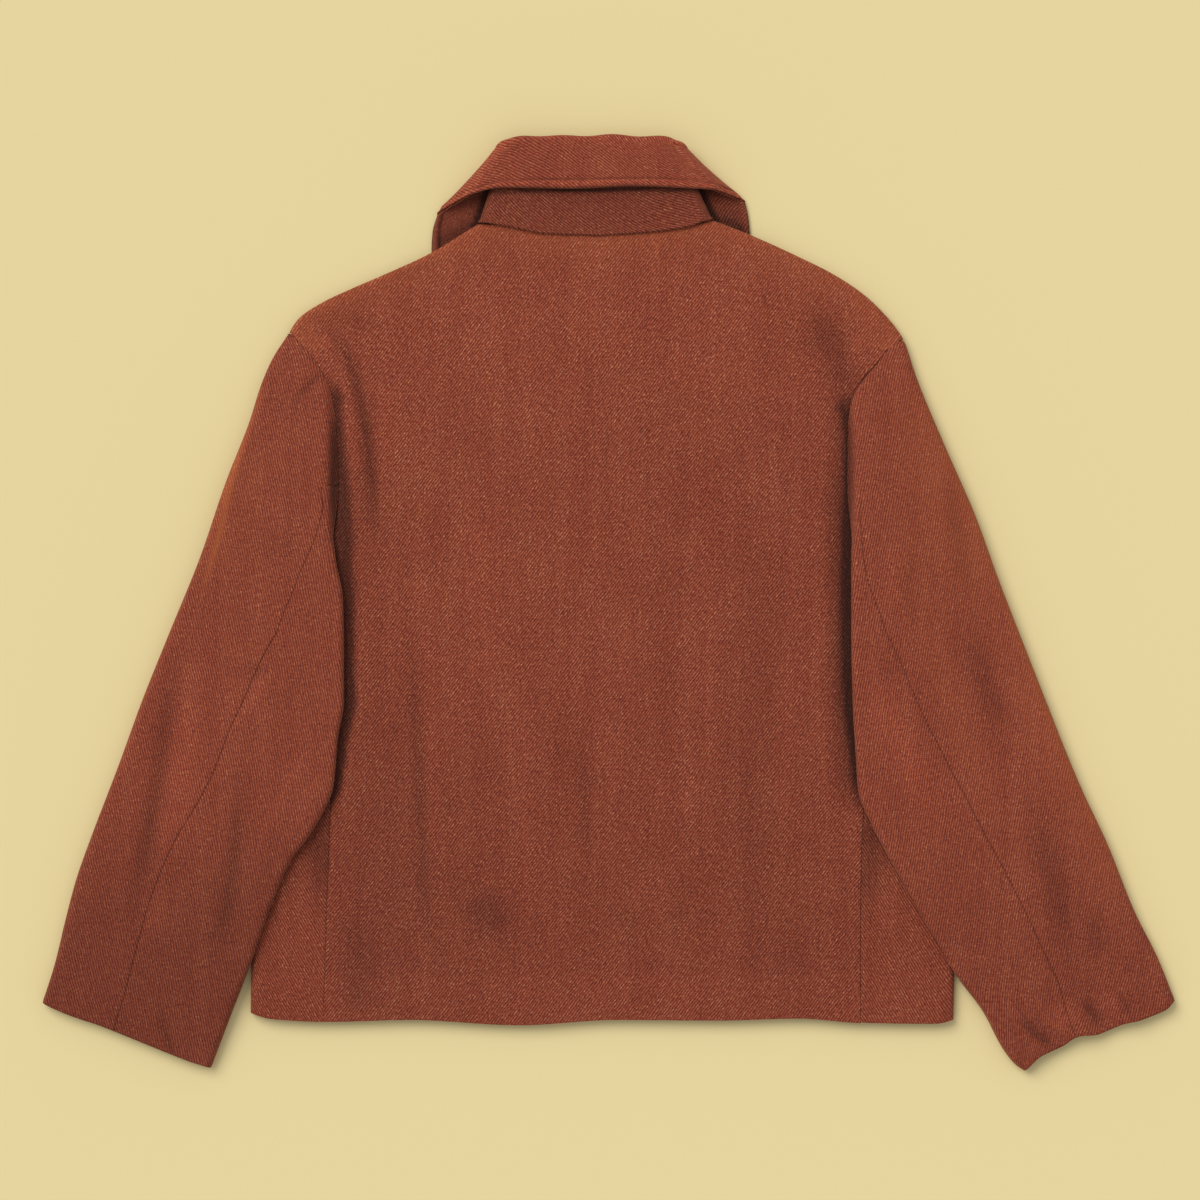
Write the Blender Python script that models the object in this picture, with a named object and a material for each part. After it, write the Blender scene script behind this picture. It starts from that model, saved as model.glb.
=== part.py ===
"""A wool twill jacket lying flat, face down, with its back, its two sleeves and its collar on top.

The tables are in millimetres: x to the right, y towards the collar, z up from the surface that the
jacket lies on. Side tables give "out", the distance from the middle towards that side's sleeve.
Every piece is a sheet of points along the middle of its cloth, thickened by a Solidify modifier.
"""

import bmesh
import bpy
import numpy as np

MM = 0.001
CLOTH = 1.6
PLY = 1.5
SEAM = 0.3
HALF = CLOTH / 2

# Heights of the middle of the cloth
FLOOR = HALF
BACK = 9.0
SIDE_ROUND = 4.5
EDGE_TOLERANCE = 0.08
NECK_RISE = 2.6
SHOULDER_GAP = 0.5

# Centre front: how far each front runs past the middle
FRONT_MIDDLE = -6.0
FRONT_OVERLAP = 20.0
OVERLAP_LIFT = CLOTH + 0.9
OVERLAP_LEVEL = 30.0
OVERLAP_SLOPE = 14.0

# Soft ridges of the back: beside each valley, and on the slant below the left shoulder
LEFT_RIDGE = {"width": 6.5, "top": 175, "bottom": 5, "height": 3.4}
SLANT_RIDGE = {"width": 9.0, "top": 225, "bottom": 60, "height": 1.5}
RIGHT_RIDGE = {"width": 17.0, "top": 190, "bottom": 0, "height": 2.4}
RIDGE_FADE = 45.0

# Sleeve folds
INNER_ROUND = 4.0
OUTER_ROUND = 5.5
RAMP = 12.0
RAMP_START = 1.0
SLEEVE_GAP = 0.5
SLEEVE_LIFT = CLOTH + 0.6
ARMHOLE_GAP = 0.9
UNDERARM = -22.0
UNDERARM_EASE = 20.0
CUFF_START = 0.8
CUFF_WAVES = 3.0
VALLEY_TOP = 92.0
VALLEY_FOOT = 60.0

# Collar
COLLAR_PLY_OFFSET = (PLY + 0.5) / 2
ROLL = 2.6
LEAF_LIFT = 4.0
LEAF_MARGIN = 13.0
LEAF_SLOPE = 34.0

# Rows of points: fractions of the way from the shoulder tip down to the underarm, shared by the
# body and the sleeve, and the rows between the underarm and the hem
CAP_ROWS = (0.006, 0.02, 0.045, 0.085, 0.14, 0.21, 0.31, 0.42, 0.52, 0.62, 0.71, 0.80, 0.88, 0.94, 1.0)
SHOULDER_ROWS = (0.0, 0.0015)
SEAM_TOP_ROW = 12
UNDERARM_ROWS = 5
STRIP_TOP_ROWS = (0.94, 0.90)
ARM_ROWS = (0.015, 0.03, 0.05, 0.09, 0.16, 0.25, 0.35, 0.45, 0.55, 0.65, 0.74, 0.82, 0.89, 0.95, 1.0)
FOLD_STEPS = (0, 1.4, 4.6)
STRIP_WIDTH = 50.0
BACK_MIDDLE_COLUMNS = 10
FRONT_NECK_COLUMNS = (0.008, 0.03, 0.07, 0.13, 0.22, 0.34, 0.48, 0.60, 0.78, 1.0)

WOOL = (0.25, 0.060, 0.032, 1.0)

# Hem of the back: x, y
HEM = [(-268, -307), (-255, -311), (-210, -313.5), (-149, -312), (-64, -316), (10, -312),
       (89, -312.5), (150, -311), (200, -314.5), (245, -315), (258, -312)]
# Back neck seam: x, y
BACK_NECK = [(-98, 283.2), (-82, 283.2), (-65, 280.2), (-46, 277.2), (-7, 276.2), (31, 278.2),
             (50, 280.4), (65, 283.0), (77, 286.2)]

LEFT = {
    "side": -1,
    # out, y
    "shoulder": [(98, 284), (133, 262.5), (171, 245), (192, 236), (217, 224), (233, 212.5), (239, 203)],
    "armhole": [(252, -22), (232, -9), (215, 17), (205.5, 55), (202, 92), (203.5, 130), (208, 158),
                (216, 175.5), (226.5, 189.5), (239, 203)],
    "side_fold": [(268.5, -308), (268, -270), (260, -120), (252, -22)],
    "side_seam": [(213.8, -314), (211.5, -235), (209.5, -187), (208.5, -149), (212, -60)],
    "outer": [(424.5, -300), (415, -270), (407, -237), (399, -207), (388, -176), (367, -121),
              (349.5, -73), (329, -22), (307, 32), (286.5, 91.5), (269, 136.5), (261, 162), (253, 181),
              (239, 203)],
    "inner": [(298, -348), (280.5, -302), (268.5, -271.5), (256, -235.5), (237, -191), (224, -174),
              (210, -149), (206, -138), (202.5, -101), (198, -73), (198, -28), (198.8, 4), (204, 32),
              (206.6, 55), (209, 92), (208.5, 130), (208, 158)],
    "front_neck": [(-14, 198.6), (9, 198.6), (45, 205.6), (68, 220.6), (85, 240.6), (93, 257.6),
                   (96.5, 271.6), (98, 284)],
    # row, fraction of the sleeve's width from its inner edge; rows below 0 are y / 1000 above the arm
    "back_seam": [(-0.088, 0.0), (-0.052, 0.12), (-0.012, 0.30), (0.022, 0.38), (0.2, 0.51),
                  (0.4, 0.57), (0.7, 0.60), (1.0, 0.577)],
    # fraction across the cuff, how far the edge pulls up
    "cuff_edge": [(0, 0), (0.15, -1), (0.65, 0), (0.85, -1), (1, 0)],
    "cuff_buckle": 0.0,
}
RIGHT = {
    "side": 1,
    "shoulder": [(77, 287), (106.5, 275.5), (143, 259), (167, 247), (191, 231), (207, 215.5),
                 (217, 203), (220, 198)],
    "armhole": [(240.5, -22), (214.5, -9), (193, 17), (181, 55), (178, 92), (178.5, 130), (181, 152),
                (189, 166.5), (199.5, 179), (209, 190), (220, 198)],
    "side_fold": [(258, -312), (258.5, -277), (249, -140), (240.5, -22)],
    "side_seam": [(188.3, -315), (188.3, -245), (189, -187), (190.5, -157), (195, -60)],
    "outer": [(424, -298.5), (411, -266), (394, -232), (373, -180), (354, -139.5), (342, -111),
              (327, -73), (307, -22), (293, 14), (274, 66), (250, 121), (229.5, 171), (223, 191),
              (220, 198)],
    "inner": [(311, -350), (306, -347), (277.5, -302), (259, -277.5), (250.5, -262.5), (235, -235.5),
              (216, -202.5), (195, -163), (186, -139.5), (184.5, -117), (182, -73), (181, -22),
              (181, 14), (181.5, 55), (183, 92), (182.5, 130), (181, 152)],
    "front_neck": [(-26, 198.6), (-3, 198.6), (32, 205.6), (54, 220.6), (68, 239.6), (75, 256.6),
                   (77.5, 271.6), (78, 286.2)],
    "back_seam": [(-0.077, 0.04), (-0.022, 0.095), (0.012, 0.18), (0.022, 0.20), (0.2, 0.355),
                  (0.4, 0.47), (0.7, 0.478), (0.93, 0.41), (1.0, 0.37)],
    "cuff_edge": [(0, 0), (0.14, 5), (0.26, 4.8), (0.36, 6.7), (0.51, 1.5), (0.65, 0.8), (0.77, -2),
                  (0.92, -3), (1, 0)],
    "cuff_buckle": 1.6,
}
SIDES = {"left": LEFT, "right": RIGHT}

# Heights of a sleeve's upper layer: row, at its inner edge, at its outer edge
SLEEVE_HEIGHTS = [(-0.203, 5.4, 5.4), (-0.199, 7.4, 7.0), (-0.194, 8.8, 8.6), (-0.181, 10.4, 10.0),
                  (-0.158, 12.4, 11.0), (-0.130, 15.2, 12.0), (-0.092, 17.5, 12.6),
                  (-0.048, 18.9, 12.8), (0.022, 19.0, 12.8), (0.4, 19.0, 12.4), (0.6, 18.4, 12.0),
                  (0.75, 16.6, 11.4), (0.88, 13.2, 10.4), (1.0, 9.6, 9.2)]

# Collar, from the centre back to the centre front.
# Neck edge out, y, z; middle of the roll out, y, z; free edge out, y, z
COLLAR_BACK = [((6, 277.1, 11.3), (6, 345.6, 10.4), (6, 310.5, 15.0))]
COLLAR_LEFT_TOP = [((45, 278.4, 11.4), (40, 345.4, 11.4), (45, 310, 15.7)),
                   ((75, 283.7, 11.6), (62, 344.6, 13.6), (82, 309.3, 16.8)),
                   ((90.5, 286.6, 11.7), (75, 342.0, 15.3), (103, 304.5, 17.2))]
COLLAR_LEFT_UNDER = [((93, 285.8, 5.4), (77, 336, 5.0), (125, 292, 2.2)),
                     ((95.6, 271.8, 5.4), (75, 318, 4.35), (131.5, 280, 1.75)),
                     ((92.2, 258, 5.5), (71, 296, 4.35), (133, 264, 1.75)),
                     ((84.3, 241.2, 5.5), (63, 273, 4.35), (132, 240, 1.75)),
                     ((67.3, 221.5, 5.4), (50, 252, 4.35), (124, 206, 1.75)),
                     ((44.7, 206.5, 5.4), (33, 238, 4.35), (105, 173, 1.75)),
                     ((9, 199.4, 5.4), (10, 230, 4.35), (80, 150, 1.75))]
COLLAR_RIGHT_TOP = [((33, 279.9, 11.4), (28, 345.4, 11.4), (33, 310.8, 15.7)),
                    ((60, 283.9, 11.6), (42, 344.2, 13.6), (59, 310.2, 16.8)),
                    ((70, 287.8, 11.7), (49, 341.5, 15.3), (78, 309.3, 17.2))]
COLLAR_RIGHT_UNDER = [((73, 288.4, 5.4), (51, 335, 5.0), (100, 300.5, 2.2)),
                      ((76.6, 271.7, 5.4), (53, 318, 4.35), (104.3, 289, 1.75)),
                      ((74.2, 257, 5.5), (52, 296, 4.35), (105.6, 272, 1.75)),
                      ((67.2, 240.2, 5.5), (47, 273, 4.35), (104.6, 248, 1.75)),
                      ((53.3, 221.3, 5.4), (36, 251, 4.35), (98, 216, 1.75)),
                      ((31.7, 206.5, 5.4), (20, 238, 4.35), (84, 184, 1.75)),
                      ((-3, 199.4, 5.4), (-2, 230, 4.35), (64, 158, 1.75))]
# How far neck edge, roll and free edge bulge outwards where the collar turns from back to front
COLLAR_TURN = (3.0, 5.0, 1.4)
COLLAR_TURN_ANGLES = np.linspace(0, np.pi, 9)[1:-1]


def smooth(table, value=1):
    """A curve through a table's rows that never overshoots between them."""
    rows = sorted((row[0], row[value]) for row in table)
    keys = np.array([row[0] for row in rows], float)
    values = np.array([row[1] for row in rows], float)
    step = np.diff(keys)
    slope = np.diff(values) / step
    tangent = np.zeros(len(keys))
    same = slope[:-1] * slope[1:] > 0
    first, second = 2 * step[1:] + step[:-1], step[1:] + 2 * step[:-1]
    safe = np.where(same, slope[:-1], 1.0), np.where(same, slope[1:], 1.0)
    tangent[1:-1] = np.where(same, (first + second) / (first / safe[0] + second / safe[1]), 0.0)
    tangent[0], tangent[-1] = slope[0], slope[-1]

    def at(key):
        key = np.clip(np.asarray(key, float), keys[0], keys[-1])
        i = np.clip(np.searchsorted(keys, key) - 1, 0, len(step) - 1)
        t = (key - keys[i]) / step[i]
        return (values[i] * (1 + 2 * t) * (1 - t) ** 2 + values[i + 1] * t * t * (3 - 2 * t)
                + step[i] * (tangent[i] * t * (1 - t) ** 2 - tangent[i + 1] * t * t * (1 - t)))

    return at


def path(points):
    """A smooth curve through points of any dimension, by the fraction of its length."""
    points = np.asarray(points, float)
    along = np.concatenate([[0], np.cumsum(np.linalg.norm(np.diff(points, axis=0), axis=1))])
    along /= along[-1]
    parts = [smooth(list(zip(along, column))) for column in points.T]
    return lambda t: np.stack([part(t) for part in parts], axis=-1)


def ease(t):
    t = np.clip(t, 0.0, 1.0)
    return t * t * (3 - 2 * t)


def blend(a, b, t):
    return a + (b - a) * t


def distance_to(line, out, y):
    """Distance in plan to a polyline."""
    out, y = np.broadcast_arrays(np.asarray(out, float), np.asarray(y, float))
    best = np.full(out.shape, 1e9)
    for (ax, ay), (bx, by) in zip(line[:-1], line[1:]):
        dx, dy = bx - ax, by - ay
        t = np.clip(((out - ax) * dx + (y - ay) * dy) / (dx * dx + dy * dy), 0, 1)
        best = np.minimum(best, np.hypot(out - ax - t * dx, y - ay - t * dy))
    return best


def inside(outline, out, y):
    out, y = np.broadcast_arrays(np.asarray(out, float), np.asarray(y, float))
    found = np.zeros(out.shape, bool)
    for (ax, ay), (bx, by) in zip(outline, np.roll(outline, -1, axis=0)):
        crosses = (ay > y) != (by > y)
        found ^= crosses & (out < (bx - ax) * (y - ay) / ((by - ay) or 1e-9) + ax)
    return found


def prepare(side):
    """Adds to a side's tables the curves that its pieces share."""
    side["armhole_at"] = smooth([(y, out) for out, y in side["armhole"]])
    side["fold_at"] = smooth([(y, out - HALF) for out, y in side["side_fold"]])
    side["outer_at"] = smooth([(y, out - HALF) for out, y in side["outer"]])
    side["inner_at"] = smooth([(y, out + HALF) for out, y in side["inner"]])
    side["shoulder_at"] = smooth([(out, y - HALF) for out, y in side["shoulder"]])
    side["tip"] = side["shoulder"][-1][0]
    side["tip_y"] = float(side["shoulder_at"](side["tip"]))
    side["neck"] = side["shoulder"][0][0]
    side["seam_top"] = blend(side["tip_y"], UNDERARM, CAP_ROWS[SEAM_TOP_ROW])
    seam = [(y, out) for out, y in side["side_seam"]]
    side["seam_at"] = smooth(seam + [(side["seam_top"], float(side["armhole_at"](side["seam_top"])))])
    steps = np.linspace(side["neck"], side["tip"], 60)
    fold_y = np.linspace(side["side_fold"][0][1] - 10, UNDERARM, 60)
    side["edges"] = (np.stack([steps, side["shoulder_at"](steps)], axis=-1),
                     np.stack([side["fold_at"](fold_y), fold_y], axis=-1))
    under = COLLAR_LEFT_UNDER if side["side"] < 0 else COLLAR_RIGHT_UNDER
    free = [edge[:2] for _, _, edge in under]
    neck = [point[:2] for point, _, _ in reversed(under)]
    side["leaf"] = np.array(free + neck, float)
    side["front_edge"] = side["side"] * FRONT_MIDDLE - FRONT_OVERLAP
    return side


def edge_distance(side, out, y):
    return np.minimum(*(distance_to(edge, out, y) for edge in side["edges"]))


def ridge(x, y, line, width, top, bottom, height):
    """A soft ridge that follows a line x(y) and fades out at both ends."""
    fade = ease((top - y) / RIDGE_FADE) * ease((y - bottom) / RIDGE_FADE)
    return height * fade * np.exp(-0.5 * ((x - line) / width) ** 2)


def back_level(x, y):
    """Height of the upper layer of the body, away from its folded edges."""
    left_valley = -LEFT["armhole_at"](y)
    right_valley = RIGHT["armhole_at"](y)
    level = BACK + NECK_RISE * np.exp(-((x + 7) / 110) ** 2 - ((y - 290) / 95) ** 2)
    level = level + ridge(x, y, left_valley + 11, **LEFT_RIDGE)
    level = level + ridge(x, y, -150 - 0.27 * y, **SLANT_RIDGE)
    level = level + ridge(x, y, right_valley - 34, **RIGHT_RIDGE)
    return level


def leaf_distance(x, y):
    """Distance in plan outside the two collar leaves that lie under the fronts."""
    best = np.full(np.broadcast(x, y).shape, 1e9)
    for side in SIDES.values():
        out = side["side"] * x
        closed = np.concatenate([side["leaf"], side["leaf"][:1]])
        best = np.minimum(best, np.where(inside(side["leaf"], out, y), 0.0, distance_to(closed, out, y)))
    return best


def front_level(side, out, y):
    """Height of the lower layer of the body, away from its folded edges."""
    x = side["side"] * out
    level = FLOOR + LEAF_LIFT * (1 - ease((leaf_distance(x, y) - LEAF_MARGIN) / LEAF_SLOPE))
    if side["side"] < 0:
        level = level + OVERLAP_LIFT * ease((x - FRONT_MIDDLE + OVERLAP_LEVEL + OVERLAP_SLOPE) / OVERLAP_SLOPE)
    return level


def body_height(side, out, y, upper):
    """Height of the body's cloth, rounded down or up to the middle at the folded edges."""
    top = back_level(side["side"] * out, y)
    bottom = front_level(side, out, y)
    middle = (top + bottom) / 2
    t = np.clip((edge_distance(side, out, y) - EDGE_TOLERANCE) / SIDE_ROUND, 0, 1)
    share = np.sqrt(1 - (1 - t) ** 2)
    return middle + (top - middle if upper else bottom - middle) * share


def hem_at(side, out):
    return smooth(HEM)(side["side"] * out)


def body_edge(side, y):
    """Outer edge of the floor layer: the side fold, then the armhole."""
    return np.where(y <= UNDERARM, side["fold_at"](y), side["armhole_at"](y) - SEAM / 2)


def back_edge(side, y):
    """Outer edge of the back: the side seam, then the armhole."""
    edge = np.where(y <= side["seam_top"], side["seam_at"](y), side["armhole_at"](y))
    return np.where(y >= side["tip_y"], side["tip"], edge) - SEAM / 2


def rows_up(rows, low, top):
    """Points at rows 0 to 1 from the hem to the underarm, and 1 to 2 from there to the top edge."""
    return np.where(rows <= 1, blend(low, UNDERARM, rows), blend(UNDERARM, top, rows - 1))


def back_sheet(columns, rows):
    """The back, from seam to seam (columns 0 to 1) and from hem to top edge (rows 0 to 2)."""
    columns, rows = np.asarray(columns)[None, :], np.asarray(rows)[:, None]
    left_tip, right_tip = -LEFT["tip"], RIGHT["tip"]
    x_top = left_tip + columns * (right_tip - left_tip)
    neck = smooth(BACK_NECK)(x_top)
    top = np.where(x_top < -LEFT["neck"], LEFT["shoulder_at"](-x_top),
                   np.where(x_top > RIGHT["neck"], RIGHT["shoulder_at"](x_top), neck))
    low = smooth(HEM)(x_top * 0.9)
    y = rows_up(rows, low, top)
    x = blend(-back_edge(LEFT, y), back_edge(RIGHT, y), columns)
    z = np.where(x < 0, body_height(LEFT, -x, y, True), body_height(RIGHT, x, y, True))
    folded = (x_top < -LEFT["neck"]) | (x_top > RIGHT["neck"])
    z = z + np.where((rows > 2 - 1e-6) & folded, SHOULDER_GAP, 0)
    return np.stack([x, y, z], axis=-1)


def front_sheet(side, columns, rows):
    """The floor layer of a front, from its outer edge (column 0) to the centre front (column 1)."""
    columns, rows = np.asarray(columns)[None, :], np.asarray(rows)[:, None]
    out_top = blend(side["tip"], side["front_edge"], columns)
    neck = smooth([(out, y) for out, y in side["front_neck"]])(out_top)
    top = np.where(out_top > side["neck"], side["shoulder_at"](out_top), neck)
    low = hem_at(side, blend(side["fold_at"](-300), side["front_edge"], columns)) + 2.0 * ease(columns * 8)
    y = rows_up(rows, low, top)
    out = blend(body_edge(side, y), side["front_edge"], columns)
    z = body_height(side, out, y, False)
    at_shoulder = (rows > 2 - 1e-6) & (out_top > side["neck"])
    return np.stack([side["side"] * out, y, z - np.where(at_shoulder, SHOULDER_GAP, 0)], axis=-1)


def strip_sheet(side, columns, heights):
    """The part of a front that comes round the side fold, up to the side seam on the back."""
    columns, y_edge = np.asarray(columns)[None, :], np.asarray(heights)[:, None]
    start = np.where(y_edge <= UNDERARM, side["fold_at"](y_edge), side["armhole_at"](y_edge))
    end = side["seam_at"](y_edge) + SEAM / 2
    out = blend(start, end, columns)
    rise = 1 - ease((y_edge - heights[0]) / 200)
    y = y_edge + rise * (hem_at(side, out) - hem_at(side, start))
    z = body_height(side, out, y, True)
    return np.stack([side["side"] * out, y, z], axis=-1)


def sleeve_frames(side, cap, arm):
    """Each row's inner point, outer point and row number, from the shoulder tip to the cuff."""
    frames = []
    for fraction in cap:
        y = blend(side["tip_y"], UNDERARM, fraction)
        inner = float(side["inner_at"](y)) if y < side["inner"][-1][1] else float(side["armhole_at"](y)) + 2
        frames.append((np.array([inner, y]), np.array([float(side["outer_at"](y)), y]), -y / 1000))
    y = np.linspace(UNDERARM, side["inner"][0][1], 60)
    inner_path = path(np.stack([side["inner_at"](y), y], axis=-1))
    y = np.linspace(UNDERARM, side["outer"][0][1], 60)
    outer_path = path(np.stack([side["outer_at"](y), y], axis=-1))
    start = -UNDERARM / 1000
    for fraction in arm:
        frames.append((inner_path(fraction), outer_path(fraction), blend(start, 1.0, fraction)))
    return frames


def crossing(side, inner, step, width):
    """How far along a row the body's side fold lies, from the sleeve's inner edge."""
    p = 0.4 * width
    for _ in range(25):
        y = inner[1] + p * step[1]
        p += 0.7 * (float(side["fold_at"](y)) - inner[0] - p * step[0])
    return p


def cubic(a, b, c, d, count):
    t = np.linspace(0, 1, count)[:, None]
    return ((1 - t) ** 3 * np.array(a) + 3 * t * (1 - t) ** 2 * np.array(b)
            + 3 * t * t * (1 - t) * np.array(c) + t ** 3 * np.array(d))


def sleeve_section(side, frame):
    """A row's profile as distance from the inner edge and height: the under sleeve, then the top sleeve."""
    inner, outer, row = frame
    width = float(np.linalg.norm(outer - inner))
    step = (outer - inner) / width
    above = UNDERARM / -1000 > row
    y = float(inner[1])
    high_in = float(smooth(SLEEVE_HEIGHTS, 1)(row))
    high_out = float(smooth(SLEEVE_HEIGHTS, 2)(row))
    inner_round = min(INNER_ROUND, 0.3 * width)
    outer_round = min(OUTER_ROUND, 0.4 * width)

    def place(p):
        return inner[0] + p * step[0], inner[1] + p * step[1]

    def high(p):
        share = ease(p / width)
        across = np.clip(p / width, 0, 1)
        buckle = side["cuff_buckle"] * ease((row - CUFF_START) / (1 - CUFF_START))
        wave = np.sin(2 * np.pi * CUFF_WAVES * across) * np.sin(np.pi * across)
        return blend(high_in, high_out, share) + buckle * wave

    def on_body(p):
        return back_level(side["side"] * place(p)[0], place(p)[1]) + SLEEVE_LIFT

    if above:
        edge = float(side["armhole_at"](y)) - inner[0]
        near = ease((y - UNDERARM) / UNDERARM_EASE)
    else:
        edge = crossing(side, inner, step, width)
        near = 0.0

    def low(p):
        slope = 0.5 - 0.5 * np.cos(np.pi * np.clip((p - edge - RAMP_START) / RAMP, 0, 1))
        return blend(on_body(p), FLOOR, slope)

    middle = RAMP * 0.45
    if above:
        under_end = edge + middle * (1 - near)
        top_end = edge + blend(middle + SLEEVE_GAP, SLEEVE_GAP, near)
        seam_out = edge + inner[0]
        end_low = float(body_height(side, seam_out, y, False))
    else:
        past = ease((UNDERARM - float(inner[1])) / 16)
        split = blend(edge + middle, max(0.52 * width, edge + RAMP + 6), past)
        under_end, top_end = split - SLEEVE_GAP / 2, split + SLEEVE_GAP / 2

    def floor(p):
        if not above:
            return low(p)
        flat = FLOOR + (end_low - FLOOR) * (1 - ease((p - edge) / 9))
        return blend(low(p), flat, near)

    if above and edge < inner_round + 0.1:
        lifted = ease((VALLEY_TOP - y) / (VALLEY_TOP - VALLEY_FOOT))
        height = float(body_height(side, edge + inner[0], y, True)) + SLEEVE_LIFT * lifted
        foot = edge + ARMHOLE_GAP * (1 - lifted)
        gap = inner_round - foot
        turn = ease(gap / (1.5 * INNER_ROUND))
        pull_low = blend(4 / 3 * inner_round, -0.5 * gap, turn)
        pull_high = blend(4 / 3 * inner_round, 0.5 * gap, turn)
        head = cubic((foot, height), (foot - pull_low, height),
                     (inner_round - pull_high, high(inner_round)), (inner_round, high(inner_round)), 24)
        lower = flat = head[:1]
    else:
        level = np.clip(edge + 0.5, inner_round, under_end - 0.3)
        p = np.linspace(under_end, level, 60)
        lower = np.stack([p, low(p)], axis=-1)
        p = np.linspace(level, inner_round, 60)
        flat = np.stack([p, low(p)], axis=-1)
        pull = 4 / 3 * inner_round
        head = cubic(flat[-1], (inner_round - pull, flat[-1][1]),
                     (inner_round - pull, high(inner_round)), (inner_round, high(inner_round)), 24)
    p = np.linspace(inner_round, width - outer_round, 60)
    upper = np.stack([p, high(p)], axis=-1)
    start_low = float(floor(np.array(width - outer_round)))
    pull = 4 / 3 * outer_round
    fold = cubic(upper[-1], (width - outer_round + pull, upper[-1][1]),
                 (width - outer_round + pull, start_low), (width - outer_round, start_low), 24)
    p = np.linspace(width - outer_round, min(top_end, width - outer_round - 0.1), 60)
    tail = np.stack([p, floor(p)], axis=-1)
    seam = float(smooth(side["back_seam"])(row)) * width
    if row < side["back_seam"][0][0]:
        return None, [head, upper, fold, tail]
    seam = max(seam, inner_round + 0.6)
    before = np.concatenate([upper[upper[:, 0] < seam - SEAM], [(seam - SLEEVE_GAP / 2, float(high(np.array(seam))))]])
    after = np.concatenate([[(seam + SLEEVE_GAP / 2, float(high(np.array(seam))))], upper[upper[:, 0] > seam + SEAM]])
    return [lower, flat, head, before], [after[:1], after, fold, tail]


def resample(parts, counts, least=0.45):
    """Points along joined parts, with each part's own number of steps."""
    points, marks = [], [0.0]
    for part in parts:
        points.append(part)
        joined = np.concatenate(points)
        marks.append(float(np.sum(np.linalg.norm(np.diff(joined, axis=0), axis=1))))
    joined = np.concatenate(points)
    along = np.concatenate([[0], np.cumsum(np.linalg.norm(np.diff(joined, axis=0), axis=1))])
    total = along[-1]
    least = min(least, 0.7 * total / sum(counts))
    marks = np.array(marks)
    for i, count in enumerate(counts):
        marks[i + 1] = max(marks[i + 1], marks[i] + count * least)
    marks[-1] = total
    for i in range(len(counts) - 1, 0, -1):
        marks[i] = min(marks[i], marks[i + 1] - counts[i] * least)
    wanted = [0.0]
    for i, count in enumerate(counts):
        wanted += list(np.linspace(marks[i], marks[i + 1], count + 1)[1:])
    keep = np.concatenate([[True], np.diff(along) > 1e-9])
    return np.stack([np.interp(wanted, along[keep], joined[keep, k]) for k in (0, 1)], axis=-1)


def sleeve_sheets(side, cap, arm, under_counts, top_counts):
    """The under sleeve's and the top sleeve's sheets."""
    sheets = {"under": [], "top": []}
    edge = smooth(side["cuff_edge"])
    for frame in sleeve_frames(side, cap, arm):
        inner, outer, row = frame
        width = np.linalg.norm(outer - inner)
        step = (outer - inner) / width
        axis = np.array([-step[1], step[0]])
        under, top = sleeve_section(side, frame)
        for name, parts, counts in (("under", under, under_counts), ("top", top, top_counts)):
            if parts is None:
                continue
            profile = resample(parts, counts)
            pull = edge(profile[:, 0] / width) * ease((row - CUFF_START) / (1 - CUFF_START))
            plan = inner + profile[:, :1] * step + pull[:, None] * axis
            sheets[name].append(np.column_stack([side["side"] * plan[:, 0], plan[:, 1], profile[:, 1]]))
    return {name: np.array(rows) for name, rows in sheets.items()}


def collar_stations(side_name, steps):
    """Neck edge, roll and free edge of half a collar, from the centre back to the centre front."""
    side = SIDES[side_name]["side"]
    top = COLLAR_LEFT_TOP if side < 0 else COLLAR_RIGHT_TOP
    under = COLLAR_LEFT_UNDER if side < 0 else COLLAR_RIGHT_UNDER
    middle = [tuple((side * -6.0, *point[1:]) for point in COLLAR_BACK[0])]
    stations = []
    turn = COLLAR_TURN_ANGLES
    for k, bulge in enumerate(COLLAR_TURN):
        line = [row[k] for row in middle + top]
        a, b = np.array(top[-1][k], float), np.array(under[0][k], float)
        for angle in turn:
            point = blend(a, b, (1 - np.cos(angle)) / 2)
            line.append(tuple(point + np.array([bulge, 0, 0]) * np.sin(angle)))
        line += [row[k] for row in under]
        stations.append(np.array(line, float))
    spread = np.linspace(0, 1, len(stations[0]))
    out = []
    for line in stations:
        curve = [smooth(list(zip(spread, column))) for column in line.T]
        values = np.stack([part(steps) for part in curve], axis=-1)
        values[:, 0] *= side
        out.append(values)
    angle_rows = [0.0] * (1 + len(top)) + list(turn) + [np.pi] * len(under)
    angle = smooth(list(zip(spread, angle_rows)))(steps)
    outward = np.column_stack([side * np.sin(angle), np.zeros_like(angle), np.cos(angle)])
    return out, outward


def collar_sheet(steps, stand, fold, fall):
    """The collar's middle surface and its outward side, from the left front end to the right one."""
    left, left_out = collar_stations("left", np.asarray(steps)[::-1])
    right, right_out = collar_stations("right", np.asarray(steps))
    neck, roll, edge = (np.concatenate([a, b[1:]]) for a, b in zip(left, right))
    outward = np.concatenate([left_out, right_out[1:]])
    along = np.gradient(roll, axis=0)
    along /= np.linalg.norm(along, axis=1)[:, None]
    outward -= np.sum(outward * along, axis=1)[:, None] * along
    outward /= np.linalg.norm(outward, axis=1)[:, None]
    tip = -np.cross(along, outward)
    rows = []
    for t in np.linspace(0, 1, stand + 1)[:-1]:
        rows.append(blend(neck, roll - ROLL * outward, t))
    for angle in np.linspace(0, np.pi, fold + 1):
        rows.append(roll + ROLL * (-np.cos(angle) * outward + np.sin(angle) * tip))
    for t in np.linspace(0, 1, fall + 1)[1:]:
        rows.append(blend(roll + ROLL * outward, edge, t))
    return np.array(rows)


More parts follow.
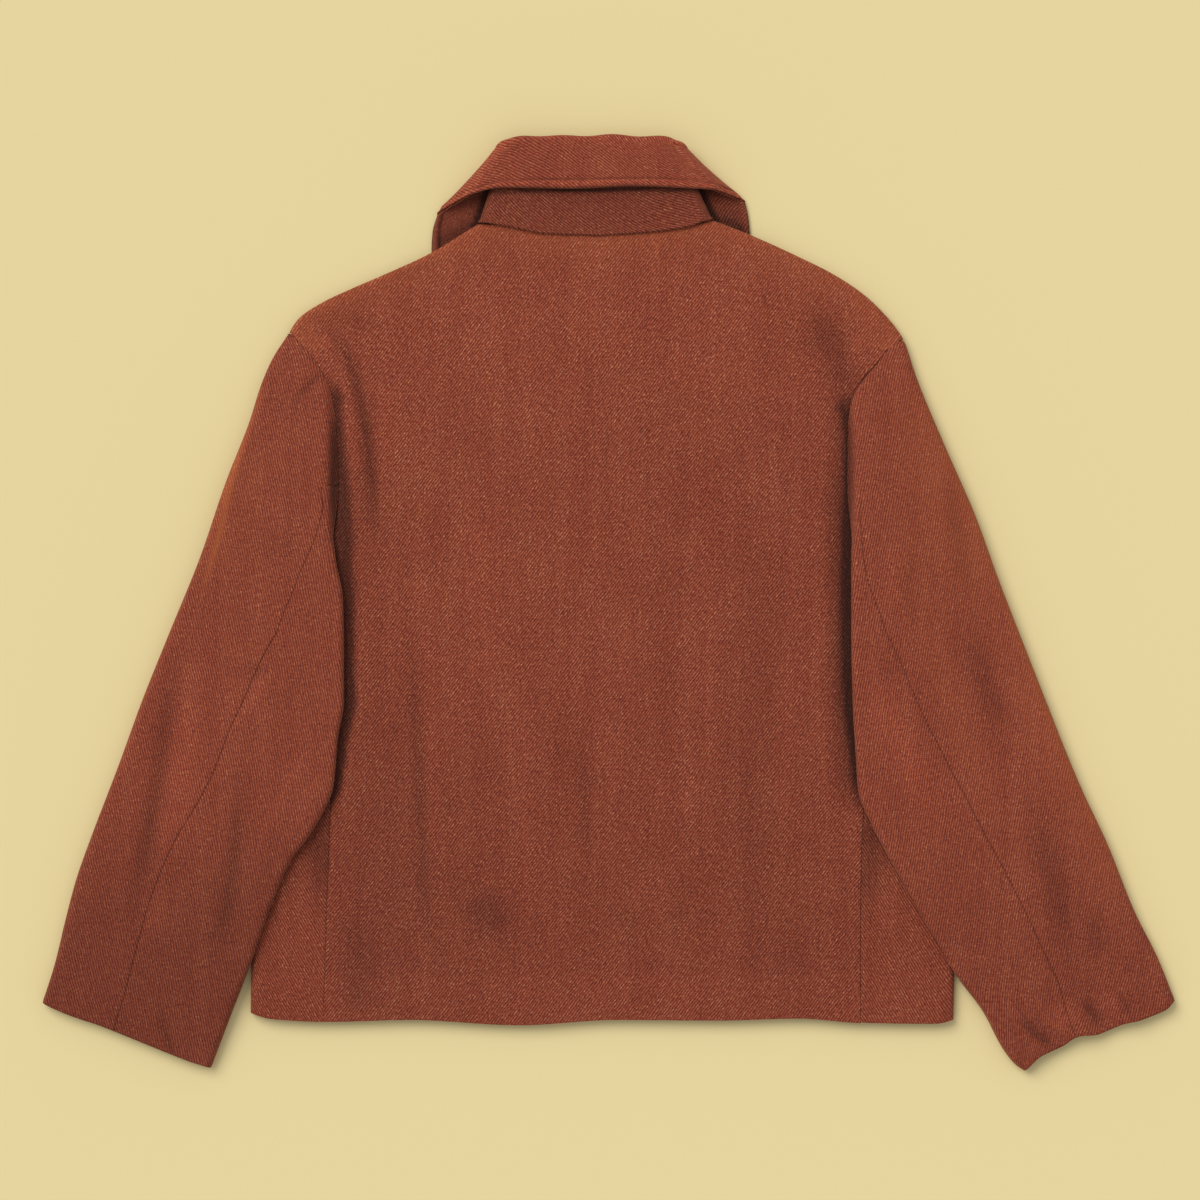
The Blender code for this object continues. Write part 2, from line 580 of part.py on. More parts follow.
def normals_of(sheet):
    across = np.gradient(sheet, axis=1)
    down = np.gradient(sheet, axis=0)
    normal = np.cross(across, down)
    return normal / np.maximum(np.linalg.norm(normal, axis=-1)[..., None], 1e-9)


def grid_mesh(name, sheets):
    """One mesh of one or more grids of points, welded where their points meet."""
    mesh = bpy.data.meshes.new(name)
    build = bmesh.new()
    for sheet in sheets:
        rows, columns = sheet.shape[:2]
        verts = [[build.verts.new(sheet[r, c] * MM) for c in range(columns)] for r in range(rows)]
        for r in range(rows - 1):
            for c in range(columns - 1):
                build.faces.new((verts[r][c], verts[r][c + 1], verts[r + 1][c + 1], verts[r + 1][c]))
    if len(sheets) > 1:
        bmesh.ops.remove_doubles(build, verts=build.verts, dist=0.02 * MM)
    bmesh.ops.recalc_face_normals(build, faces=build.faces)
    build.to_mesh(mesh)
    build.free()
    mesh.shade_smooth()
    return mesh


def wool(name, tint):
    material = bpy.data.materials.new(name)
    material.use_nodes = True
    shader = material.node_tree.nodes["Principled BSDF"]
    shader.inputs["Base Color"].default_value = tuple(c * tint for c in WOOL[:3]) + (1.0,)
    shader.inputs["Roughness"].default_value = 0.92
    shader.inputs["Metallic"].default_value = 0.0
    return material


def cloth_piece(name, sheets, thickness, tint):
    piece = bpy.data.objects.new(name, grid_mesh(name, sheets))
    bpy.context.scene.collection.objects.link(piece)
    piece.data.materials.append(wool(name + "_wool", tint))
    thicken = piece.modifiers.new("cloth", "SOLIDIFY")
    thicken.thickness = thickness * MM
    thicken.offset = 0.0
    return piece


def near_start(distances, length, rest):
    """Fractions that start with fixed distances and go on evenly."""
    first = [d / length for d in distances]
    return np.array(first + list(np.linspace(first[-1], 1, rest + 1)[1:]))


def body_rows():
    """Rows from the hem up, that share the sleeve's rows at the armhole."""
    cap = [2 - row for row in reversed(SHOULDER_ROWS + CAP_ROWS)]
    return np.concatenate([np.linspace(0, 1, UNDERARM_ROWS + 1), cap[1:]])


def shoulder_columns(side):
    """Distances from the shoulder tip to the neck, shared by the back and the front."""
    return [*FOLD_STEPS[:-1], *np.linspace(FOLD_STEPS[-1], side["tip"] - side["neck"], 6)]


def make_back():
    across = LEFT["tip"] + RIGHT["tip"]
    left = shoulder_columns(LEFT)
    right = [across - column for column in reversed(shoulder_columns(RIGHT))]
    middle = np.linspace(left[-1], right[0], BACK_MIDDLE_COLUMNS)[1:-1]
    columns = np.concatenate([left, middle, right]) / across
    cloth_piece("back", [back_sheet(columns, body_rows())], CLOTH, 1.0)


def make_front(name):
    side = SIDES[name]
    across = side["tip"] - side["front_edge"]
    to_neck = side["tip"] - side["neck"]
    past_neck = [to_neck + part * (across - to_neck) for part in FRONT_NECK_COLUMNS]
    floor = front_sheet(side, np.array(shoulder_columns(side) + past_neck) / across, body_rows())
    edge_y = list(floor[:UNDERARM_ROWS + 1, 0, 1])
    above = [blend(side["tip_y"], UNDERARM, row) for row in STRIP_TOP_ROWS]
    strip = strip_sheet(side, near_start(FOLD_STEPS, STRIP_WIDTH, 3), edge_y + above)
    cloth_piece("front_" + name, [floor, strip], CLOTH, 0.9)


def make_sleeve(name):
    side = SIDES[name]
    sheets = sleeve_sheets(side, CAP_ROWS, ARM_ROWS, (4, 2, 4, 3), (1, 4, 3, 4))
    cloth_piece(f"sleeve_{name}_top", [sheets["top"]], CLOTH, 1.0)
    cloth_piece(f"sleeve_{name}_under", [sheets["under"]], CLOTH, 0.94)


def make_collar():
    stations = len(COLLAR_BACK) + len(COLLAR_LEFT_TOP) + len(COLLAR_TURN_ANGLES) + len(COLLAR_LEFT_UNDER)
    steps = np.linspace(0, 1, stations)
    middle = collar_sheet(steps, 3, 4, 3)
    normal = normals_of(middle)
    outside = np.sign(normal[-1, len(steps) - 1, 2])
    for name, shift, tint in (("collar_top", 1, 1.05), ("collar_under", -1, 0.9)):
        ply = middle + shift * outside * COLLAR_PLY_OFFSET * normal
        cloth_piece(name, [ply], PLY, tint)


def main():
    for obj in list(bpy.data.objects):
        bpy.data.objects.remove(obj, do_unlink=True)
    for side in SIDES.values():
        prepare(side)
    make_back()
    for name in SIDES:
        make_front(name)
        make_sleeve(name)
    make_collar()


main()
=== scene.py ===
"""Looks of a wool twill jacket that lies flat, face down, on a pale straw-coloured surface.

Each piece of cloth is a thin shell on the form of its solid. The tables are in millimetres: x to
the right, y towards the collar, z up. Side tables give "out", the distance from the middle towards
that side's sleeve. The shapes repeat those of the solids, sampled finely, with the creases added.
"""

import math

import bpy
import numpy as np
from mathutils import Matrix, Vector, kdtree

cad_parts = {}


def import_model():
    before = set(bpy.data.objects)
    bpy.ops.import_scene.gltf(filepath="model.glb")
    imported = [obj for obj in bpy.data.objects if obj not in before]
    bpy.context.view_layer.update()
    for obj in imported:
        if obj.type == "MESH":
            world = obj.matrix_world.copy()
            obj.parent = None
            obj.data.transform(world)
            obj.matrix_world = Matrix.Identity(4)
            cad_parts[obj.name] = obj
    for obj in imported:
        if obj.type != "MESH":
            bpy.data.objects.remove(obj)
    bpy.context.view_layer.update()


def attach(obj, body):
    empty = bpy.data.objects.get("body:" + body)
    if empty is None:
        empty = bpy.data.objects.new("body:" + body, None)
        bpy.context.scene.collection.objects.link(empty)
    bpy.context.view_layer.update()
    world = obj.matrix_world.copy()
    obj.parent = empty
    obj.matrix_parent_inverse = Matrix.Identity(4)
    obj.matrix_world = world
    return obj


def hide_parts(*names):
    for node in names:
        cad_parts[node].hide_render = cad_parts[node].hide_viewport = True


MM = 0.001
CLOTH = 1.6
PLY = 1.5
SEAM = 0.06
HALF = CLOTH / 2

# Heights of the middle of the cloth
FLOOR = HALF
BACK = 9.0
SIDE_ROUND = 4.5
EDGE_TOLERANCE = 0.08
NECK_RISE = 2.6
SHOULDER_GAP = 0.12

# Centre front: its x, how far each front runs past it, and how the upper front rises over the lower
FRONT_MIDDLE = -6.0
FRONT_OVERLAP = 20.0
OVERLAP_LIFT = CLOTH + 0.9
OVERLAP_LEVEL = 30.0
OVERLAP_SLOPE = 14.0

# Soft ridges of the back: beside each valley, and on the slant below the left shoulder
LEFT_RIDGE = {"width": 6.5, "top": 175, "bottom": 5, "height": 3.4}
SLANT_RIDGE = {"width": 9.0, "top": 225, "bottom": 60, "height": 1.5}
RIGHT_RIDGE = {"width": 17.0, "top": 190, "bottom": 0, "height": 2.4}
RIDGE_FADE = 45.0

# Sleeve folds
INNER_ROUND = 4.0
OUTER_ROUND = 5.5
RAMP = 12.0
RAMP_START = 1.0
SLEEVE_GAP = 0.06
SLEEVE_LIFT = CLOTH + 0.6
ARMHOLE_GAP = 0.12
UNDERARM = -22.0
UNDERARM_EASE = 20.0
# A sleeve's rows are numbered -y / 1000 down to the underarm, and go on from there to 1 at the cuff
UNDERARM_ROW = -UNDERARM / 1000
CUFF_START = 0.8
CUFF_WAVES = 3.0
VALLEY_TOP = 92.0
VALLEY_FOOT = 60.0
# The under sleeve starts this far above its first seam row, tucked under the top sleeve
TUCK = 0.004
TUCK_DEPTH = 1.1

# Distances from a seam at which the cloth has points
SEAM_STEPS = (0.12, 0.3, 0.55, 0.9, 1.5)

# Collar
COLLAR_PLY_OFFSET = (PLY + 0.5) / 2
ROLL = 2.6
LEAF_LIFT = 4.0
LEAF_MARGIN = 13.0
LEAF_SLOPE = 34.0

# How far down from the shoulder tip to the underarm the side seam meets the armhole, as a fraction
SEAM_TOP = 0.88

# Hem of the back: x, y
HEM = [(-268, -307), (-255, -311), (-210, -313.5), (-149, -312), (-64, -316), (10, -312),
       (89, -312.5), (150, -311), (200, -314.5), (245, -315), (258, -312)]
# Back neck seam: x, y
BACK_NECK = [(-98, 283.2), (-82, 283.2), (-65, 280.2), (-46, 277.2), (-7, 276.2), (31, 278.2),
             (50, 280.4), (65, 283.0), (77, 286.2)]

LEFT = {
    "side": -1,
    # out, y
    "shoulder": [(98, 284), (133, 262.5), (171, 245), (192, 236), (217, 224), (233, 212.5), (239, 203)],
    "armhole": [(252, -22), (232, -9), (215, 17), (205.5, 55), (202, 92), (203.5, 130), (208, 158),
                (216, 175.5), (226.5, 189.5), (239, 203)],
    "side_fold": [(268.5, -308), (268, -270), (260, -120), (252, -22)],
    "side_seam": [(213.8, -314), (211.5, -235), (209.5, -187), (208.5, -149), (212, -60)],
    "outer": [(424.5, -300), (415, -270), (407, -237), (399, -207), (388, -176), (367, -121),
              (349.5, -73), (329, -22), (307, 32), (286.5, 91.5), (269, 136.5), (261, 162), (253, 181),
              (239, 203)],
    "inner": [(298, -348), (280.5, -302), (268.5, -271.5), (256, -235.5), (237, -191), (224, -174),
              (210, -149), (206, -138), (202.5, -101), (198, -73), (198, -28), (198.8, 4), (204, 32),
              (206.6, 55), (209, 92), (208.5, 130), (208, 158)],
    "front_neck": [(-14, 198.6), (9, 198.6), (45, 205.6), (68, 220.6), (85, 240.6), (93, 257.6),
                   (96.5, 271.6), (98, 284)],
    # row, fraction of the sleeve's width from its inner edge; rows below 0 are y / 1000 above the arm
    "back_seam": [(-0.088, 0.0), (-0.052, 0.12), (-0.012, 0.30), (0.022, 0.38), (0.2, 0.51),
                  (0.4, 0.57), (0.7, 0.60), (1.0, 0.577)],
    # fraction across the cuff, how far the edge pulls up
    "cuff_edge": [(0, 0), (0.15, -1), (0.65, 0), (0.85, -1), (1, 0)],
    # height of the waves across the cuff
    "cuff_buckle": 0.0,
}
RIGHT = {
    "side": 1,
    "shoulder": [(77, 287), (106.5, 275.5), (143, 259), (167, 247), (191, 231), (207, 215.5),
                 (217, 203), (220, 198)],
    "armhole": [(240.5, -22), (214.5, -9), (193, 17), (181, 55), (178, 92), (178.5, 130), (181, 152),
                (189, 166.5), (199.5, 179), (209, 190), (220, 198)],
    "side_fold": [(258, -312), (258.5, -277), (249, -140), (240.5, -22)],
    "side_seam": [(188.3, -315), (188.3, -245), (189, -187), (190.5, -157), (195, -60)],
    "outer": [(424, -298.5), (411, -266), (394, -232), (373, -180), (354, -139.5), (342, -111),
              (327, -73), (307, -22), (293, 14), (274, 66), (250, 121), (229.5, 171), (223, 191),
              (220, 198)],
    "inner": [(311, -350), (306, -347), (277.5, -302), (259, -277.5), (250.5, -262.5), (235, -235.5),
              (216, -202.5), (195, -163), (186, -139.5), (184.5, -117), (182, -73), (181, -22),
              (181, 14), (181.5, 55), (183, 92), (182.5, 130), (181, 152)],
    "front_neck": [(-26, 198.6), (-3, 198.6), (32, 205.6), (54, 220.6), (68, 239.6), (75, 256.6),
                   (77.5, 271.6), (78, 286.2)],
    "back_seam": [(-0.077, 0.04), (-0.022, 0.095), (0.012, 0.18), (0.022, 0.20), (0.2, 0.355),
                  (0.4, 0.47), (0.7, 0.478), (0.93, 0.41), (1.0, 0.37)],
    "cuff_edge": [(0, 0), (0.14, 5), (0.26, 4.8), (0.36, 6.7), (0.51, 1.5), (0.65, 0.8), (0.77, -2),
                  (0.92, -3), (1, 0)],
    "cuff_buckle": 1.6,
}
SIDES = {"left": LEFT, "right": RIGHT}

# Heights of a sleeve's upper layer: row, at its inner edge, at its outer edge
SLEEVE_HEIGHTS = [(-0.203, 5.4, 5.4), (-0.199, 7.4, 7.0), (-0.194, 8.8, 8.6), (-0.181, 10.4, 10.0),
                  (-0.158, 12.4, 11.0), (-0.130, 15.2, 12.0), (-0.092, 17.5, 12.6),
                  (-0.048, 18.9, 12.8), (0.022, 19.0, 12.8), (0.4, 19.0, 12.4), (0.6, 18.4, 12.0),
                  (0.75, 16.6, 11.4), (0.88, 13.2, 10.4), (1.0, 9.6, 9.2)]

# Collar, from the centre back to the centre front.
# Neck edge out, y, z; middle of the roll out, y, z; free edge out, y, z
COLLAR_BACK = [((6, 277.1, 11.3), (6, 345.6, 10.4), (6, 310.5, 15.0))]
COLLAR_LEFT_TOP = [((45, 278.4, 11.4), (40, 345.4, 11.4), (45, 310, 15.7)),
                   ((75, 283.7, 11.6), (62, 344.6, 13.6), (82, 309.3, 16.8)),
                   ((90.5, 286.6, 11.7), (75, 342.0, 15.3), (103, 304.5, 17.2))]
COLLAR_LEFT_UNDER = [((93, 285.8, 5.4), (77, 336, 5.0), (128.5, 291.5, 2.4)),
                     ((95.6, 271.8, 5.4), (75, 318, 4.35), (132.2, 279, 1.75)),
                     ((92.2, 258, 5.5), (71, 296, 4.35), (133, 264, 1.75)),
                     ((84.3, 241.2, 5.5), (63, 273, 4.35), (132, 240, 1.75)),
                     ((67.3, 221.5, 5.4), (50, 252, 4.35), (124, 206, 1.75)),
                     ((44.7, 206.5, 5.4), (33, 238, 4.35), (105, 173, 1.75)),
                     ((9, 199.4, 5.4), (10, 230, 4.35), (80, 150, 1.75))]
COLLAR_RIGHT_TOP = [((33, 279.9, 11.4), (28, 345.4, 11.4), (33, 310.8, 15.7)),
                    ((60, 283.9, 11.6), (42, 344.2, 13.6), (59, 310.2, 16.8)),
                    ((70, 287.8, 11.7), (49, 341.5, 15.3), (78, 309.3, 17.2))]
COLLAR_RIGHT_UNDER = [((73, 288.4, 5.4), (51, 335, 5.0), (101.8, 300.5, 2.4)),
                      ((76.6, 271.7, 5.4), (53, 318, 4.35), (104.3, 289, 1.75)),
                      ((74.2, 257, 5.5), (52, 296, 4.35), (105.6, 272, 1.75)),
                      ((67.2, 240.2, 5.5), (47, 273, 4.35), (104.6, 248, 1.75)),
                      ((53.3, 221.3, 5.4), (36, 251, 4.35), (98, 216, 1.75)),
                      ((31.7, 206.5, 5.4), (20, 238, 4.35), (84, 184, 1.75)),
                      ((-3, 199.4, 5.4), (-2, 230, 4.35), (64, 158, 1.75))]
# How far neck edge, roll and free edge bulge outwards where the collar turns from back to front
COLLAR_TURN = (3.0, 5.0, 2.2)
COLLAR_TURN_ANGLES = np.linspace(0, np.pi, 9)[1:-1]

# Steps along each crease, and how far to its sides it reaches, as a multiple of its width
CREASE_STEPS = 20
CREASE_REACH = 3.5

# Creases of each part of the jacket: width, height and route, as x, y points
BODY_CREASES = [
    (3.5, -2.0, [(-222, 214), (-205, 200), (-193, 179), (-187, 156), (-182, 138), (-178.5, 109), (-176, 77),
                 (-174, 45)]),
    (5.0, -0.9, [(-214, 212), (-194, 212), (-170, 204)]),
    (7.0, 0.6, [(-170, 175), (-166, 130), (-166, 80)]),
    (1.6, -0.5, [(-160, 245), (-140, 250), (-121, 253)]),
    (1.3, -0.25, [(-128, 253), (-60, 255), (0, 255.5), (62, 254)]),
    (11.0, -1.6, [(150, 222), (165, 198), (176, 175), (178, 150)]),
    (5.0, 0.7, [(190, 204), (185, 187), (182, 170)]),
    (7.0, -1.2, [(177, 160), (173, 60), (176, -60), (181, -150)]),
    (3.5, -1.0, [(-147, -20), (-145, -58), (-142, -114), (-140, -170), (-136, -238), (-127, -272)]),
    (4.0, 0.4, [(-134, -40), (-131, -120), (-129, -185)]),
    (4.0, -0.65, [(-24, -80), (-18, -151), (-13, -205)]),
    (9.0, -1.2, [(-101, -217), (-90, -233), (-79, -249)]),
    (2.5, 0.3, [(-63, -30), (-62, -120), (-63, -190), (-60, -290)]),
    (7.0, -0.8, [(-189, -232), (-188, -275), (-188, -318)]),
    (8.0, -0.4, [(8, -238), (24, -244)]),
    (9.0, -0.4, [(43, -230), (58, -240)]),
    (10.0, 0.35, [(-96, 90), (-92, 0), (-90, -80)]),
    (12.0, -0.35, [(38, 160), (45, 20), (40, -120)]),
    (14.0, -0.4, [(100, 90), (104, -90), (98, -230)]),
    (6.0, 0.35, [(130, -50), (133, -210)]),
    (2.2, 0.35, [(194, -150), (193.5, -240), (193.5, -318)]),
    (2.5, 0.4, [(-223, -190), (-223, -318)]),
]
SLEEVE_CREASES = {
    "left": [
        (2.2, -1.3, [(-213, 173), (-221, 166), (-229, 157), (-234, 147)]),
        (3.0, 0.9, [(-260, 156), (-268, 135), (-285, 90), (-303, 34)]),
        (12.0, -0.5, [(-246, 55), (-242, 30)]),
        (5.0, -1.4, [(-322, -40), (-328, -75), (-337, -133), (-348, -193), (-355, -232)]),
        (9.0, 0.7, [(-310, -60), (-322, -140), (-333, -200)]),
        (5.0, -0.6, [(-266, -42), (-258, -58)]),
        (2.5, 0.8, [(-250, -48), (-262, -66), (-275, -88)]),
        (4.5, -1.1, [(-275, -130), (-280, -193), (-284, -223), (-296, -264)]),
        (3.0, 0.45, [(-222, -108), (-245, -150), (-263, -188)]),
        (2.6, 0.4, [(-213, -122), (-226, -150), (-238, -175)]),
        (6.0, 0.5, [(-345, -250), (-330, -215)]),
        (2.2, -0.9, [(-335, -300), (-331, -322), (-324, -340)]),
    ],
    "right": [
        (2.0, -0.9, [(189, 163), (197, 175), (205, 184)]),
        (5.0, -0.8, [(253, 95), (264, 40), (272, -2)]),
        (7.0, -1.1, [(269, -22), (282, -62), (295, -100)]),
        (7.0, -1.1, [(318, -155), (333, -210), (347, -262)]),
        (5.0, -0.8, [(360, -228), (370, -266)]),
        (9.0, 0.8, [(196, -50), (222, -115), (252, -168)]),
        (4.0, 0.5, [(212, 46), (215, -12)]),
        (4.0, -0.4, [(223, 34), (227, -18)]),
        (3.0, -1.8, [(308, -311), (320, -322), (334, -334)]),
        (3.0, -1.7, [(354, -296), (362, -307), (370, -319)]),
        (2.5, -1.3, [(380, -293), (387, -301), (393, -307)]),
        (6.0, 0.9, [(333, -303), (347, -317)]),
        (5.0, 0.8, [(370, -294), (383, -305)]),
    ],
}
# Folds of the cloth on its hidden side
FRONT_CREASES = [
    (6.0, 0.5, [(-120, -40), (-116, -150), (-120, -260)]),
    (5.0, 0.4, [(70, 20), (78, -120), (74, -220)]),
    (7.0, 0.5, [(150, 60), (140, -90)]),
]

# Painted highlights: streaks of orange sheen where the nap catches the light, on each sleeve: width, strength
# and route
PAINTED_SHEEN_STREAKS = {
    "left": [
        (1.9, 0.85, [(-258, 158), (-267.5, 138), (-281.5, 93), (-292.5, 48), (-307, 0)]),
        (3.0, 0.25, [(-262, 160), (-289, 92), (-331, -22), (-368, -121)]),
        (14.0, 0.12, [(-262, 130), (-283, 70), (-300, 10)]),
    ],
    "right": [
        (3.0, 0.70, [(229, 172), (250, 121), (274, 66), (307, -22), (342, -111), (373, -180), (400, -240)]),
        (17.0, 0.30, [(222, 185), (244, 110), (266, 50), (290, -20)]),
        (10.0, 0.22, [(290, -10), (330, -110), (365, -185), (398, -255)]),
        (10.0, 0.12, [(215, 100), (235, 0), (265, -100), (300, -180)]),
    ],
}

# Shades across the body: y at which each starts, distance over which it comes, amount
BODY_SHADES = [(60, 160, 0.06), (20, -120, -0.04), (-60, -180, -0.08)]
# Painted highlight along the shoulders too, where the nap catches the light: strength, width, and the y at
# which it ends
SHOULDER_PAINTED_SHEEN = 0.5
SHOULDER_PAINTED_SHEEN_WIDTH = 14.0
SHOULDER_FOOT = 190.0

# Soft vertical bands of painted shade on the back: x of the middle, width, y of the top, depth
PAINTED_SHADE_BANDS = [(-172, 20, 210, 0.05), (125, 28, 210, 0.05), (-145, 62, -60, 0.05)]

# Width of the painted shade in the valley between the body and each sleeve, by y
LEFT_VALLEY_SHADE_WIDTHS = [(-165, 3), (-148, 5), (-118, 7), (-73, 9), (-43, 8), (-13, 8.5), (17, 10.5), (47, 15),
               (77, 16.5), (104, 14), (130, 11), (152, 8.5), (172, 3)]
RIGHT_VALLEY_SHADE_WIDTHS = [(-165, 2), (-118, 4), (-73, 6), (-13, 7), (77, 7), (120, 7), (145, 9), (160, 4)]

# Finish of the cloth: seams sink in and swell beside their line, hems and cuffs stand proud
SEAM_SINK = 0.22
SEAM_WIDTH = 0.9
SEAM_SWELL = 0.14
SWELL_PLACE = 3.6
SWELL_WIDTH = 1.9
# Painted shade in the seams' grooves and in the creases, and painted light on the creases' ridges
SEAM_PAINTED_SHADE = 0.20
CREASE_PAINTED_LIGHT_AND_SHADE = 0.20
MIN_TONE, MAX_TONE = 0.16, 1.3
EDGE_ROUND = 0.42
HEM_RISE = 0.45
HEM_TOP = -280.0
CUFF_RISE = 0.35
CUFF_WIDTH = 27.0
# Edges of the body below this y are hems, not seams, and so are a sleeve's this far below its cuff's top
HEM_EDGE = -295.0
CUFF_DROP = 22.5
# Cloth higher than this belongs to a sleeve's upper layer or to the collar's fall
UPPER_LAYER = 13.0

# Points along each turn of a sleeve's profile, and along each other part and each edge seen from above
TURN_POINTS = 24
LINE_POINTS = 60
# Steps towards the place where a sleeve's row crosses the body's side fold
CROSSING_STEPS = 25
# Reach of the handles of a half-round turn, as a multiple of its radius
ROUND_HANDLE = 4 / 3
# Distances from an edge at which the cloth has points: for most edges, and for the fronts' folds
EDGE_STEPS = (0.0, 0.12, 0.35, 0.75, 1.3, 2.1, 3.2)
FOLD_STEPS = (0.0, 0.1, 0.35, 0.8, 1.4, 2.2, 3.2, 4.6)
# Lengths of the body below and above the underarm, and the width of the strip past a side fold
LOW_BODY = 290.0
HIGH_BODY = 225.0
STRIP_WIDTH = 50.0
# Steps of points in the parts of a sleeve's profile, and the column at the top sleeve's outer fold
UNDER_STEPS = (14, 5, 16, 30)
TOP_STEPS = (5, 44, 14, 30)
TOP_FOLD_COLUMN = len(SEAM_STEPS) + TOP_STEPS[0] + TOP_STEPS[1]
# Columns over which the direction of a sleeve's grain is measured
GRAIN_REACH = 8
# A sleeve's rows: fractions of the way down to the underarm, and from there to the cuff
CAP_ROWS = np.concatenate([[0.004, 0.007, 0.011, 0.016], np.linspace(0.022, 1.0, 76)])
ARM_ROWS = np.concatenate([np.linspace(0.006, 0.985, 118), [0.99, 0.995, 0.998, 1.0]])
# Rows of points in the collar's stand, roll and fall, and the row at the middle of the roll
COLLAR_ROWS = (24, 12, 22)
ROLL_ROW = COLLAR_ROWS[0] + COLLAR_ROWS[1] // 2

# Depth of the painted shade in the valley beside the left sleeve, beside the right one and further out there
LEFT_VALLEY_DARK = 0.66
RIGHT_VALLEY_DARK = 0.44
RIGHT_VALLEY_FADE = 0.26
# Where each valley's painted shade lies: y of its top, the distance over which it ends there, and the same at
# its foot
VALLEY_SPANS = {"left": (176, 24, -168, 26), "right": (168, 30, -168, 40)}
# Shade of the fronts, and the shadow on the strips below the sleeves: its depth, its foot's y at the
# seam, how far that rises towards the side fold and over what width, and how softly the shadow ends
FRONT_TONE = 0.97
STRIP_DARK = 0.34
STRIP_SHADE_FOOT = -262.0
STRIP_SHADE_SLANT = 60.0
STRIP_SHADE_WIDTH = 30.0
STRIP_SHADE_FADE = 70.0
# Painted shade along each sleeve's inner edge beside the valley: where it starts, its width, its depth, and
# where it lies by y
SHADED_EDGE_START = -3.0
SHADED_EDGE = 5.0
EDGE_PAINTED_SHADE = {"left": 0.68, "right": 0.55}
EDGE_SPAN = (165, 45, -190, 60)
# How much darker each cuff is than its sleeve
CUFF_SHADE = {"left": 0.25, "right": 0.10}

# Finish of the collar: the band along its free edge, its waves, and the neck edge under the back
COLLAR_BAND = 6.0
COLLAR_BAND_RISE = 0.8
COLLAR_TURN_START = 0.21
EDGE_WAVE = 0.7
ROLL_WAVE = 0.6
NECK_TUCK = 2.6
NECK_DROP = 1.7
# Shadows on the parts that the fall covers: width, strength and route
COLLAR_SHADOWS = [
    (1.5, -1.4, [(-87, 318), (-93.5, 301), (-98, 289), (-103, 274)]),
    (1.5, -1.4, [(65, 318), (73.5, 299), (78.5, 289), (85, 274)]),
    (3.4, -0.45, [(76, 291.5), (93, 284), (112, 274.5)]),
    (3.0, -0.30, [(-96, 287), (-115, 276.5), (-134, 266)]),
    (1.1, -0.60, [(-112, 298), (-100, 304), (-82, 307.6), (-45, 308.6), (-6, 309), (33, 309.3), (60, 308.6),
                  (80, 307), (92, 303)]),
]
# Creases round the stand: how far up it, depth, width
COLLAR_CREASES = [(0.25, 0.30, 1.1), (0.42, 0.42, 1.3), (0.62, 0.36, 1.4)]

# Light, floor and camera
FLOOR_COLOUR = (0.815, 0.684, 0.359, 1.0)
SKY_STRENGTH = 0.56
LIGHT_STRENGTH = 1.75
LIGHT_SPREAD = 40.0
LIGHT_FROM = (-0.62, 0.66, 1.0)
FRAME_MM = 900.0
FRAME_CENTRE = (-6.75, 2.25)
CAMERA_HEIGHT = 4.0

# In each piece: the direction of the twill's ribs in degrees from its weft, their pitch in mm and
# strength, the strength of the specks, and the tint; the upper collar's high tint is painted light on the
# fall
TWILL = {
    "back": (53, 1.85, 0.23, 0.96, 1.01),
    "front_left": (120, 1.8, 0.23, 0.85, 0.96),
    "front_right": (120, 1.8, 0.23, 0.85, 0.96),
    "sleeve_left_top": (103, 1.8, 0.22, 0.72, 0.99),
    "sleeve_left_under": (101, 1.8, 0.22, 0.72, 0.97),
    "sleeve_right_top": (79, 1.8, 0.22, 0.74, 1.01),
    "sleeve_right_under": (80, 1.8, 0.22, 0.74, 1.0),
    "collar_top": (143, 1.7, 0.22, 0.7, 1.10),
    "collar_under": (141, 1.7, 0.24, 0.85, 0.94),
}

# Shades of the heathered yarn, from its shadows to its light flecks
YARN = [(0.0, (78, 28, 18)), (0.3, (114, 45, 30)), (0.5, (138, 60, 41)), (0.68, (154, 77, 54)),
        (0.85, (173, 99, 71)), (1.0, (200, 138, 102))]
# Streaks in the yarn, in each piece's own directions: scale along weft and warp, place in the noise,
# its detail and its roughness
STREAKS = {
    "warp": (1.25, 0.09, 0.0, 2.0, 0.6),
    "weft": (0.045, 1.1, 7.0, 2.0, 0.6),
    "fleck": (1.1, 0.7, 3.0, 2.0, 0.7),
    "band": (0.09, 0.006, 5.0, 3.0, 0.55),
    "hue": (0.8, 0.05, 11.0, 3.0, 0.6),
}
# How much each streak changes the yarn's shade, and which of them a piece's specks scale
SHADE_WEIGHTS = {"float": 0.80, "warp": 0.34, "weft": 0.28, "fleck": 1.20, "band": 0.20, "cloud": 0.16}
SPECKLED = ("float", "fleck")
# How much the ribs and each streak add to the height of the weave
RIB_BUMP = 0.11
BUMP_WEIGHTS = {"nap": 0.22, "warp": 0.25, "fleck": 0.2}
# Places from cool to warm yarns, and their tints
HUES = [(0.35, (236, 244, 255)), (0.5, (255, 255, 255)), (0.68, (255, 262, 238))]
# Colour of the painted sheen highlights
PAINTED_SHEEN_COLOUR = (182, 98, 52)


